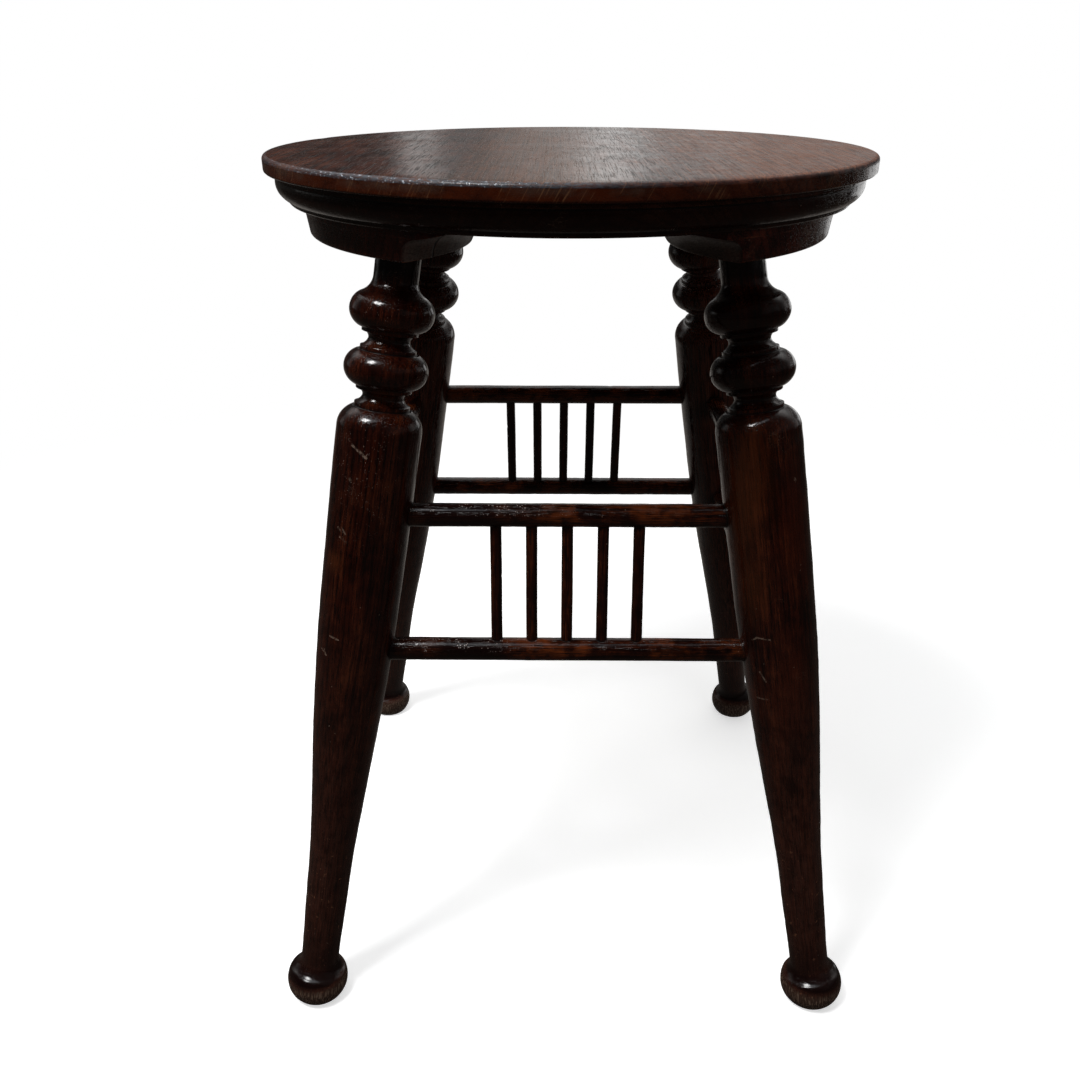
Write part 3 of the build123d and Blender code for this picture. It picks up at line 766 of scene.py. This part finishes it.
def worn_legs_and_painted_light(g, place, grain, shade, field):
    """Lighter tan and chestnut patches at given places, patches of painted shade on the front legs' heads and necks
    under the seat and on the front-left leg's shaded right side, the back legs made lighter with painted light, dust
    and chips towards the floor, feet worn bare below a black band of painted shade in the crease, and painted glints
    near the front-left leg's head.
    """
    for spot, across, along, tint, strength in LEG_SHADES:
        blend = g.mul(near_spot(g, place, spot, across, along), g.span(field["fibre"], 0.25, 0.65, 0.45, 1.0))
        shade["colour"] = g.mix(g.mul(blend, strength), shade["colour"], rgba(*tint))
    x, y, z = g.split(place)
    # painted light: the back legs are made lighter to stand in for the light that the seat keeps off them
    rear_painted_light = g.mul(g.span(y, 0.03, 0.07), g.span(field["fibre"], 0.42, 0.60))
    shade["colour"] = g.mix(g.mul(rear_painted_light, 0.6), shade["colour"], rgba(0.082, 0.024, 0.0135))
    dusty = g.mul(g.span(z, 0.08, 0.27, 1.0, 0.0), g.mul(g.span(field["patch"], 0.30, 0.60, 0.5, 1.0), g.span(field["fibre"], 0.32, 0.62, 0.25, 1.0)))
    shade["colour"] = g.mix(g.mul(dusty, 0.65), shade["colour"], rgba(0.056, 0.0205, 0.0138))
    chips = g.mul(g.span(z, 0.07, 0.16, 1.0, 0.0), g.span(field["spatter"], 0.66, 0.72))
    shade["colour"] = g.mix(g.mul(chips, 0.6), shade["colour"], rgba(0.20, 0.085, 0.045))
    # painted shade: the ankle and the hollow flare are darkened, with a black glossy band in the crease
    foot = g.mul(g.span(z, 0.0150, 0.0180), g.span(z, 0.030, 0.052, 1.0, 0.0))
    shade["colour"] = g.mix(g.mul(foot, 0.60), shade["colour"], rgba(0.012, 0.0040, 0.0030))
    painted_crease_shade = g.mul(g.span(z, 0.0165, 0.0185), g.span(z, 0.0215, 0.0270, 1.0, 0.0))
    shade["colour"] = g.mix(g.mul(painted_crease_shade, 0.85), shade["colour"], rgba(0.0040, 0.0010, 0.0010))
    shade["rough"] = g.math("MULTIPLY_ADD", g.math("MAXIMUM", painted_crease_shade, g.span(z, 0.345, 0.360)), -0.08, shade["rough"])
    strokes = g.noise(g.stretched(grain, (13.0, 13.0, 1.1)), 1.0, 2.0, 0.6)
    bare = g.mul(g.mul(g.span(z, 0.0120, 0.0165, 1.0, 0.0), g.span(z, 0.0, 0.0030, 0.3, 1.0)), g.span(strokes, 0.50, 0.60))
    shade["colour"] = g.mix(g.mul(g.span(z, 0.0120, 0.0170, 0.75, 0.0), 1.0), shade["colour"], rgba(0.058, 0.034, 0.024))
    shade["colour"] = g.mix(g.mul(bare, 0.85), shade["colour"], rgba(0.190, 0.125, 0.088))
    # painted shade: a thin dark line along the bottom edge where the foot meets the floor
    shade["colour"] = g.mix(g.span(z, 0.0004, 0.0012, 0.9, 0.0), shade["colour"], rgba(0.0015, 0.001, 0.0008))
    shade["rough"] = g.math("MULTIPLY_ADD", bare, 0.2, shade["rough"])
    shade["height"] = g.math("MULTIPLY_ADD", bare, -0.06, shade["height"])
    zone = g.math("MAXIMUM", near_spot(g, place, (-107.0, -122.0, 335.0), 34.0, 62.0), near_spot(g, place, (-95.0, -105.0, 405.0), 22.0, 16.0))
    painted_glints(g, place, shade, zone, field, 0.80, 1700.0, (0.26, 0.20, 0.17))


def painted_glints(g, place, shade, zone, field, share, scale, tint):
    """Painted glints: pale dots in a zone, raised a little, standing in for grains in the varnish that catch the light.
    """
    grains = g.node("ShaderNodeTexVoronoi", {"Vector": place, "Scale": scale, "Randomness": 1.0}, feature="F1").outputs
    bits = g.split(grains["Color"])
    lit = g.mul(g.span(bits[1], share, 0.99), g.span(grains["Distance"], 0.18, 0.42, 1.0, 0.0))
    lit = g.mul(lit, g.mul(zone, g.span(field["patch"], 0.42, 0.58)))
    shade["colour"] = g.mix(lit, shade["colour"], rgba(*tint))
    shade["height"] = g.math("MULTIPLY_ADD", lit, 0.03, shade["height"])


def rails_with_painted_glints(g, place, grain, shade, field):
    """The left part of the front rails is dark and rough, with painted glints on its top; the rest is mottled orange.
    """
    zone = g.math("MAXIMUM", near_spot(g, place, (-62.0, -119.0, 306.0), 80.0, 22.0), near_spot(g, place, (-74.0, -134.0, 230.0), 70.0, 20.0))
    left = g.math("MINIMUM", g.mul(zone, 2.0), 1.0)
    orange = g.mul(g.mul(g.span(field["cloud"], 0.44, 0.62), g.span(field["patch"], 0.36, 0.58, 0.15, 1.0)), g.span(field["fibre"], 0.32, 0.62, 0.1, 1.0))
    shade["colour"] = g.mix(g.mul(orange, 0.80), shade["colour"], rgba(0.135, 0.029, 0.0065))
    shade["colour"] = g.mix(g.mul(left, 0.75), shade["colour"], rgba(0.0045, 0.0014, 0.0012))
    painted_glints(g, place, shade, g.mul(left, g.span(field["edge"], 0.1, 0.5)), field, 0.62, 1150.0, (0.45, 0.38, 0.35))


def cracked_cove_and_painted_light(g, place, grain, shade, field):
    """The hollow's end grain is grey and unpolished, and lightened with painted light from the floor below; one short
    crack runs across the left bearer.
    """
    cove = g.attribute("cove")
    # grey end grain, partly painted light from the floor below
    grey_end_grain_and_painted_floor_light = g.mul(cove, g.span(field["fibre"], 0.30, 0.70, 0.25, 0.85))
    shade["colour"] = g.mix(grey_end_grain_and_painted_floor_light, shade["colour"], rgba(0.105, 0.085, 0.072))
    shade["rough"] = g.math("MULTIPLY_ADD", cove, 0.22, shade["rough"])
    for a, b in (((-59.8, -107.2, 446.6), (-64.3, -105.6, 442.3)), ((-64.3, -105.6, 442.3), (-65.9, -104.2, 435.4))):
        crack = g.stroke(place, a, b, 0.9)
        shade["colour"] = g.mix(crack, shade["colour"], rgba(0.0008, 0.0005, 0.0004))
        shade["height"] = g.math("MULTIPLY_ADD", crack, -0.6, shade["height"])
    # painted highlight: a pale patch on the right bearer's rim near its front end
    paler_patch = g.mul(g.span(g.vector("DISTANCE", place, (0.1190, -0.0845, 0.4440), 1), 0.004, 0.017, 1.0, 0.0), g.span(field["spatter"], 0.48, 0.60))
    shade["colour"] = g.mix(g.mul(paler_patch, 0.7), shade["colour"], rgba(0.12, 0.075, 0.055))
    shade["rough"] = g.math("MULTIPLY_ADD", paler_patch, 0.2, shade["rough"])


def polished_top_and_painted_reflection(g, place, grain, shade, field):
    """Fine ripples along the boards, lighter worn wood to the right, freckles beside the glue line, and a painted
    blue-grey reflection with painted glints on the arris.
    """
    ripple = g.noise(g.stretched(grain, (7.0, 7.0, 0.035)), 1.0, 2.0, 0.5)
    band = g.noise(g.stretched(grain, (1.1, 1.1, 0.03)), 1.0, 1.0, 0.5)
    cross = g.noise(g.stretched(grain, (1.6, 1.6, 1.0)), 1.0, 3.0, 0.6)
    shade["height"] = g.math("MULTIPLY_ADD", cross, 0.16, shade["height"])
    shade["height"] = g.math("MULTIPLY_ADD", ripple, 0.035, shade["height"])
    x, y, z = g.split(place)
    flat = g.span(z, 0.4752, 0.4761)
    drift = g.math("MULTIPLY_ADD", field["cloud"], 0.030, g.math("MULTIPLY_ADD", band, 0.020, g.math("SUBTRACT", x, 0.025)))
    figured = g.mul(flat, g.span(field["fibre"], 0.34, 0.58, 0.35, 1.0))
    paler_patch = g.mul(g.span(drift, 0.030, 0.105), figured)
    shade["colour"] = g.mix(g.mul(paler_patch, 0.80), shade["colour"], rgba(0.195, 0.060, 0.021))
    tawny = g.mul(g.mul(g.span(drift, -0.068, -0.028), g.span(drift, -0.006, 0.034, 1.0, 0.0)), figured)
    shade["colour"] = g.mix(g.mul(tawny, 0.50), shade["colour"], rgba(0.145, 0.058, 0.022))
    beside = g.span(g.math("ABSOLUTE", g.math("SUBTRACT", x, SEAM_X * MM)), 0.001, 0.009, 1.0, 0.0)
    freckle = g.mul(beside, g.span(field["spatter"], 0.50, 0.60))
    shade["colour"] = g.mix(g.mul(freckle, 0.6), shade["colour"], rgba(0.012, 0.004, 0.002))
    shade["rough"] = g.math("MULTIPLY_ADD", g.mul(freckle, flat), 0.25, shade["rough"])
    streaks = g.mul(g.span(drift, 0.015, 0.060), flat)
    shade["colour"] = g.mix(g.mul(streaks, g.span(field["fibre"], 0.52, 0.68, 0.0, 0.6)), shade["colour"], rgba(0.24, 0.105, 0.055))
    shade["colour"] = g.mix(g.mul(streaks, g.span(field["fibre"], 0.36, 0.48, 0.6, 0.0)), shade["colour"], rgba(0.030, 0.007, 0.004))
    shade["rough"] = g.math("MULTIPLY_ADD", g.mul(streaks, g.span(field["patch"], 0.40, 0.62)), 0.10, shade["rough"])
    # the rim: orange where the stain is thin, dusty under the arris, with long slanting scratches
    rim = g.mul(g.span(z, 0.4666, 0.4680), g.span(z, 0.4734, 0.4742, 1.0, 0.0))
    shade["colour"] = g.mix(g.mul(g.mul(rim, g.span(x, 0.02, 0.10, 1.0, 0.2)), g.span(field["patch"], 0.42, 0.62, 0.45, 0.9)), shade["colour"], rgba(0.050, 0.0088, 0.0020))
    shade["colour"] = g.mix(g.mul(g.mul(rim, g.span(z, 0.4695, 0.4730)), g.span(field["cloud"], 0.46, 0.62, 0.0, 0.6)), shade["colour"], rgba(0.060, 0.034, 0.024))
    turn = g.mul(g.math("ARCTAN2", x, g.math("MULTIPLY", y, -1.0)), SEAT_R * MM)
    lean = g.node("ShaderNodeCombineXYZ", {0: g.add(g.mul(turn, 0.87), g.mul(z, -0.5)), 1: g.add(g.mul(turn, 0.5), g.mul(z, 0.87)), 2: 0.0}).outputs[0]
    lines = g.noise(g.stretched(lean, (1300.0, 60.0, 1.0)), 1.0, 1.0, 0.5)
    lines = g.mul(g.mul(g.span(lines, 0.60, 0.68), g.span(field["cloud"], 0.42, 0.55)), g.span(z, 0.4665, 0.4680))
    shade["colour"] = g.mix(g.mul(lines, 0.42), shade["colour"], rgba(0.20, 0.095, 0.045))
    # the arris is worn with scuffs and carries a painted pale blue-grey reflection from the left end to the middle,
    # with painted white glints towards the middle
    arris = g.mul(g.span(field["edge"], 0.2, 0.6), g.span(z, 0.4725, 0.4738))
    streak = g.noise(g.node("ShaderNodeCombineXYZ", {0: g.mul(turn, 330.0), 1: g.mul(z, 1500.0), 2: 0.0}).outputs[0], 1.0, 2.0, 0.55)
    scuff_and_painted_reflection = g.mul(g.mul(arris, g.span(streak, 0.40, 0.60, 0.25, 1.0)), g.mul(g.span(x, -0.150, -0.085, 0.40, 1.0), g.span(x, -0.012, 0.050, 1.0, 0.12)))
    shade["colour"] = g.mix(g.mul(scuff_and_painted_reflection, 0.85), shade["colour"], rgba(0.060, 0.070, 0.084))
    painted_arris_glints = g.mul(g.mul(scuff_and_painted_reflection, g.span(x, -0.030, 0.004, 1.0, 0.0)), g.span(g.noise(place, 900.0, 1.0, 0.5), 0.60, 0.70))
    shade["colour"] = g.mix(painted_arris_glints, shade["colour"], rgba(0.50, 0.53, 0.58))
    # the moulding under the rim keeps its wet-looking varnish
    shade["rough"] = g.math("MULTIPLY_ADD", g.span(z, 0.4660, 0.4668, 1.0, 0.0), -0.10, shade["rough"])
    shade["rough"] = g.add(shade["rough"], g.math("MULTIPLY_ADD", ripple, 0.20, -0.10))
    shade["rough"] = g.math("MAXIMUM", g.math("MULTIPLY_ADD", arris, 0.22, shade["rough"]), 0.12)


# the black patches are painted shade: on the front legs' heads and necks under the seat, and down the shaded right side
# of the front-left leg
TAN, CHESTNUT, PAINTED_SHADE_BLACK = (0.095, 0.024, 0.0065), (0.050, 0.0080, 0.0028), (0.0035, 0.0006, 0.0004)
LEG_SHADES = [  # where in mm, reach across and along, colour, strength
    ((90.0, -121.0, 322.0), 19.0, 62.0, TAN, 0.55),
    ((97.0, -127.0, 268.0), 14.0, 34.0, TAN, 0.35),
    ((116.0, -122.0, 300.0), 16.0, 80.0, CHESTNUT, 0.7),
    ((122.0, -140.0, 215.0), 16.0, 60.0, CHESTNUT, 0.5),
    ((-101.0, -127.0, 300.0), 9.0, 30.0, PAINTED_SHADE_BLACK, 0.45),
    ((-112.0, -126.0, 255.0), 13.0, 34.0, CHESTNUT, 0.6),
    ((-122.0, -125.0, 283.0), 9.0, 9.0, TAN, 0.5),
    ((-97.0, -108.0, 396.0), 13.0, 8.0, TAN, 0.6),
    ((-86.0, -110.0, 400.0), 12.0, 9.0, TAN, 0.4),
    ((-82.0, -101.0, 416.0), 15.0, 11.0, PAINTED_SHADE_BLACK, 0.9),
    ((-97.0, -112.0, 368.0), 16.0, 8.0, TAN, 0.45),
    ((86.0, -108.0, 402.0), 30.0, 24.0, PAINTED_SHADE_BLACK, 0.9),
    ((88.0, -110.0, 372.0), 30.0, 16.0, PAINTED_SHADE_BLACK, 0.75),
]
FRONT_LEFT_MARKS = [
    ((-109.3, -118.7, 345.4), (-106.1, -120.4, 343.0), 0.9, 0.9),
    ((-106.1, -120.4, 343.0), (-102.1, -121.9, 339.6), 1.1, 1.0),
    ((-111.4, -121.8, 328.2), (-110.6, -121.9, 327.0), 1.0, 0.8),
    ((-119.2, -123.4, 301.9), (-117.0, -125.2, 299.8), 0.7, 0.7),
    ((-117.5, -125.0, 303.0), (-115.2, -126.3, 299.3), 0.7, 0.6),
    ((-118.3, -125.2, 297.0), (-114.6, -127.4, 295.0), 0.7, 0.7),
    ((-126.8, -133.0, 242.1), (-122.1, -135.4, 241.1), 0.8, 0.7),
    ((-132.5, -130.3, 232.9), (-129.9, -133.4, 230.5), 0.8, 0.9),
    ((-131.2, -132.0, 233.6), (-130.4, -132.9, 231.0), 0.7, 0.7),
    ((-146.9, -162.5, 24.4), (-146.2, -162.9, 21.6), 0.5, 0.8),
    ((-142.6, -156.2, 44.6), (-140.9, -156.8, 42.2), 0.5, 0.6),
    ((-151.6, -158.8, 32.8), (-151.0, -159.2, 30.4), 0.5, 0.6),
    ((99.3, -129.2, 238.7), (101.4, -131.3, 241.6), 0.7, 0.7),
    ((101.4, -131.3, 241.6), (107.6, -134.9, 242.2), 0.7, 0.8),
    ((104.4, -133.4, 221.2), (107.7, -135.9, 216.5), 0.7, 0.7),
    ((104.6, -132.2, 204.2), (109.5, -137.1, 205.6), 0.7, 0.7),
    ((114.8, -119.7, 328.4), (115.2, -119.6, 326.6), 1.1, 0.9),
]
SEAT = oak("seat oak, dark stained", (0.014, 0.0034, 0.0020), (0.046, 0.0120, 0.0066), (0.095, 0.028, 0.015), (0.100, 0.030, 0.010), (1.5, -3.4, -4.0), (0.02, 0.055), 2.6, 0.21, 0.12, run=0.35, wear=0.35, contrast=1.1, speck=0.3, extras=polished_top_and_painted_reflection)
LEG = oak("leg oak, dark stained", (0.0048, 0.0008, 0.0004), (0.0218, 0.0037, 0.0016), (0.053, 0.0120, 0.0046), (0.095, 0.024, 0.0070), (-3.0, 2.2, 0.0), (0.02, -0.015), 3.4, 0.17, 0.45, wear=0.25, contrast=1.15, speck=0.3, scratches=FRONT_LEFT_MARKS, extras=worn_legs_and_painted_light)
RAIL = oak("rail oak, dark stained", (0.0040, 0.0007, 0.0004), (0.0140, 0.0026, 0.0012), (0.065, 0.0150, 0.0050), (0.100, 0.022, 0.006), (-2.0, 1.2, 0.0), (0.02, -0.02), 3.4, 0.15, 0.45, wear=0.25, contrast=1.3, speck=0.6, extras=rails_with_painted_glints)
SPINDLE = oak("spindle oak, dark stained", (0.0040, 0.0008, 0.0005), (0.0165, 0.0031, 0.0014), (0.052, 0.0115, 0.0042), (0.090, 0.021, 0.0065), (-2.0, 1.2, 0.0), (0.02, -0.02), 3.6, 0.18, 0.40, wear=0.10, contrast=1.3, speck=0.6)
BEARER = oak("bearer oak, dark stained", (0.0110, 0.0018, 0.0014), (0.0420, 0.0075, 0.0050), (0.095, 0.0200, 0.0110), (0.130, 0.036, 0.016), (22.0, -4.0, 0.0), (0.02, 0.03), 3.0, 0.26, 0.20, wear=0.40, contrast=1.0, speck=0.9, extras=cracked_cove_and_painted_light)


def steel():
    material = bpy.data.materials.new("old screw steel")
    material.use_nodes = True
    tree = material.node_tree
    tree.nodes.clear()
    g = Graph(tree)
    place = g.node("ShaderNodeTexCoord").outputs["Object"]
    cloud = g.noise(place, 500.0, 4.0, 0.6)
    fine = g.noise(place, 2500.0, 2.0, 0.6)
    rust = g.span(cloud, 0.48, 0.62)
    colour = g.mix(rust, rgba(0.22, 0.20, 0.18), rgba(0.055, 0.026, 0.014))
    rough = g.math("MULTIPLY_ADD", rust, 0.3, g.math("MULTIPLY_ADD", fine, 0.15, 0.28))
    metal = g.math("SUBTRACT", 1.0, g.mul(rust, 0.8))
    relief = g.node("ShaderNodeBump", {"Height": g.add(cloud, g.mul(fine, 0.3)), "Strength": 0.6, "Distance": 0.0001}).outputs[0]
    surface = g.node("ShaderNodeBsdfPrincipled", {"Base Color": colour, "Roughness": rough, "Metallic": metal, "Normal": relief})
    g.node("ShaderNodeOutputMaterial", {"Surface": surface.outputs[0]})
    return material


STEEL = steel()
for node, piece in pieces.items():
    material = SEAT if node.startswith("seat") else BEARER if node.startswith("bearer") else LEG if node.startswith("leg") else RAIL if node.startswith("rail") else SPINDLE
    piece.data.materials.append(material)
for side in SIDES:
    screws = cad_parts[f"bearer_screws_{side}"]
    for slot in screws.material_slots:
        slot.material = STEEL
    if not screws.material_slots:
        screws.data.materials.append(STEEL)


# ---------------------------------------------------------------- floor, light and camera
def plain_floor():
    mesh = bpy.data.meshes.new("floor")
    mesh.from_pydata([(-30, -30, 0), (30, -30, 0), (30, 30, 0), (-30, 30, 0)], [], [(0, 1, 2, 3)])
    floor = bpy.data.objects.new("floor", mesh)
    scene.collection.objects.link(floor)
    material = bpy.data.materials.new("pale floor")
    material.use_nodes = True
    tree = material.node_tree
    tree.nodes.clear()
    g = Graph(tree)
    # other rays find the floor dim near the stool and paler towards the backdrop, as a lit studio floor is
    path = g.node("ShaderNodeLightPath").outputs
    place = g.node("ShaderNodeTexCoord").outputs["Object"]
    seen = path["Is Camera Ray"]
    aside, back = g.split(place)[:2]
    glow = g.add(g.span(back, -0.14, 0.15, 0.0, 0.05), g.span(back, 0.15, 0.60, 0.0, 0.17))
    glow = g.mul(glow, g.span(back, 1.1, 2.4, 1.0, 0.2))
    glow = g.mul(glow, g.span(g.math("DIVIDE", g.math("ABSOLUTE", aside), g.math("MAXIMUM", g.add(back, 0.30), 0.05)), 0.40, 0.80, 1.0, 0.0))
    glow = g.math("MAXIMUM", glow, g.span(g.math("ABSOLUTE", aside), 2.0, 4.0, 0.0, 0.02))
    matte = g.node("ShaderNodeBsdfDiffuse", {"Color": g.mix(seen, rgba(0.050, 0.040, 0.034), rgba(0.86, 0.86, 0.86))}).outputs[0]
    lift = g.node("ShaderNodeEmission", {"Color": g.mix(seen, rgba(1.0, 0.94, 0.87), rgba(1, 1, 1)), "Strength": g.math("MAXIMUM", g.mul(seen, 0.60), g.mul(glow, g.math("SUBTRACT", 1.0, seen)))}).outputs[0]
    near = g.node("ShaderNodeAddShader", {0: matte, 1: lift}).outputs[0]
    # away from the stool the floor is plain white, so it meets the white backdrop without a line
    away = g.span(g.vector("LENGTH", place, output=1), 0.45, 1.1)
    white = g.node("ShaderNodeEmission", {"Color": rgba(1, 1, 1), "Strength": 1.0}).outputs[0]
    both = g.node("ShaderNodeMixShader", {0: g.mul(away, path["Is Camera Ray"]), 1: near, 2: white}).outputs[0]
    g.node("ShaderNodeOutputMaterial", {"Surface": both})
    mesh.materials.append(material)


def studio_world():
    world = bpy.data.worlds.new("studio")
    scene.world = world
    world.use_nodes = True
    tree = world.node_tree
    tree.nodes.clear()
    g = Graph(tree)
    x, y, z = g.split(g.node("ShaderNodeTexCoord").outputs["Generated"])
    # dim in front, a pale room to the right, a bright backdrop behind that is strongest half-way up
    right = g.mul(g.span(x, 0.30, 0.75), g.mul(g.span(z, 0.02, 0.25), g.span(z, 0.55, 0.75, 1.0, 0.0)))
    behind = g.mul(g.span(y, 0.05, 0.60), g.add(0.40, g.mul(g.span(z, 0.42, 0.66, 0.0, 0.85), g.span(z, 0.80, 0.95, 1.0, 0.2))))
    level = g.math("MULTIPLY_ADD", right, 0.06, g.add(behind, 0.020))
    # low on the backdrop: a broad bright panel a little to the right, a narrow one to the left, dark beyond
    bearing = g.math("DIVIDE", x, g.math("MAXIMUM", y, 0.05))
    slit = g.mul(g.span(bearing, -0.152, -0.130, 0.0, 0.30), g.span(bearing, -0.116, -0.094, 1.0, 0.0))
    wall = g.add(g.span(bearing, -0.152, -0.125, 0.03, 0.17), slit)
    for low_side, high_side, step in ((-0.078, 0.010, 0.19), (0.004, 0.052, 0.47), (0.056, 0.112, -0.42), (0.145, 0.200, -0.11), (0.33, 0.46, -0.20)):
        wall = g.add(wall, g.span(bearing, low_side, high_side, 0.0, step))
    low = g.mul(g.mul(g.span(y, 0.2, 0.5), g.span(g.math("ABSOLUTE", bearing), 1.2, 1.8, 1.0, 0.0)), g.span(z, 0.32, 0.48, 1.0, 0.0))
    level = g.add(g.mul(level, g.math("SUBTRACT", 1.0, low)), g.mul(low, wall))
    path = g.node("ShaderNodeLightPath").outputs
    lit = g.node("ShaderNodeBackground", {"Color": rgba(1.0, 0.99, 0.975), "Strength": level}).outputs[0]
    white = g.node("ShaderNodeBackground", {"Color": rgba(1, 1, 1), "Strength": 1.0}).outputs[0]
    both = g.node("ShaderNodeMixShader", {0: path["Is Camera Ray"], 1: lit, 2: white}).outputs[0]
    g.node("ShaderNodeOutputWorld", {"Surface": both})


def softbox(name, azimuth, elevation, distance, width, height, radiance, colour=(1, 1, 1), aim=(0, 0, 0.28), mirrored=True):
    """A rectangular lamp. Azimuth 0 is on the camera's side, positive to the right."""
    lamp = bpy.data.lights.new(name, "AREA")
    lamp.shape, lamp.size, lamp.size_y = "RECTANGLE", width, height
    lamp.energy = radiance * pi * width * height
    lamp.color = colour
    holder = bpy.data.objects.new(name, lamp)
    a, e = radians(azimuth), radians(elevation)
    place = Vector((sin(a) * cos(e), -cos(a) * cos(e), sin(e))) * distance + Vector(aim)
    holder.location = place
    holder.rotation_euler = (Vector(aim) - place).to_track_quat("-Z", "Y").to_euler()
    scene.collection.objects.link(holder)
    holder.visible_camera = False
    holder.visible_glossy = mirrored


def photo_camera():
    pitch, roll, pan, focal = 0.446413, 0.001137, -0.012469, 1029.45
    forward = Vector((sin(pan) * cos(pitch), cos(pan) * cos(pitch), -sin(pitch)))
    right = Vector((cos(pan), -sin(pan), 0))
    down = forward.cross(right)
    across = right * cos(roll) + down * sin(roll)
    downward = down * cos(roll) - right * sin(roll)
    camera = bpy.data.cameras.new("camera")
    camera.sensor_width = 36.0
    camera.lens = focal / 1080 * 36.0
    camera.clip_start = 0.02
    camera.clip_end = 100
    holder = bpy.data.objects.new("camera", camera)
    turn = Matrix((across, -downward, -forward)).transposed()
    holder.matrix_world = Matrix.Translation((-0.00852, -0.606, 0.52599)) @ turn.to_4x4()
    scene.collection.objects.link(holder)
    scene.camera = holder


plain_floor()
studio_world()
softbox("key", -50, 60, 2.0, 0.55, 0.55, 31.0)
softbox("top", -50, 78, 1.5, 1.0, 0.9, 1.5, (0.88, 0.94, 1.0))
softbox("behind_right", 143, 0, 2.0, 0.85, 0.45, 1.0)
softbox("fill", 35, 18, 2.2, 1.2, 1.0, 1.5, mirrored=False)
photo_camera()
scene.view_settings.view_transform = "Standard"
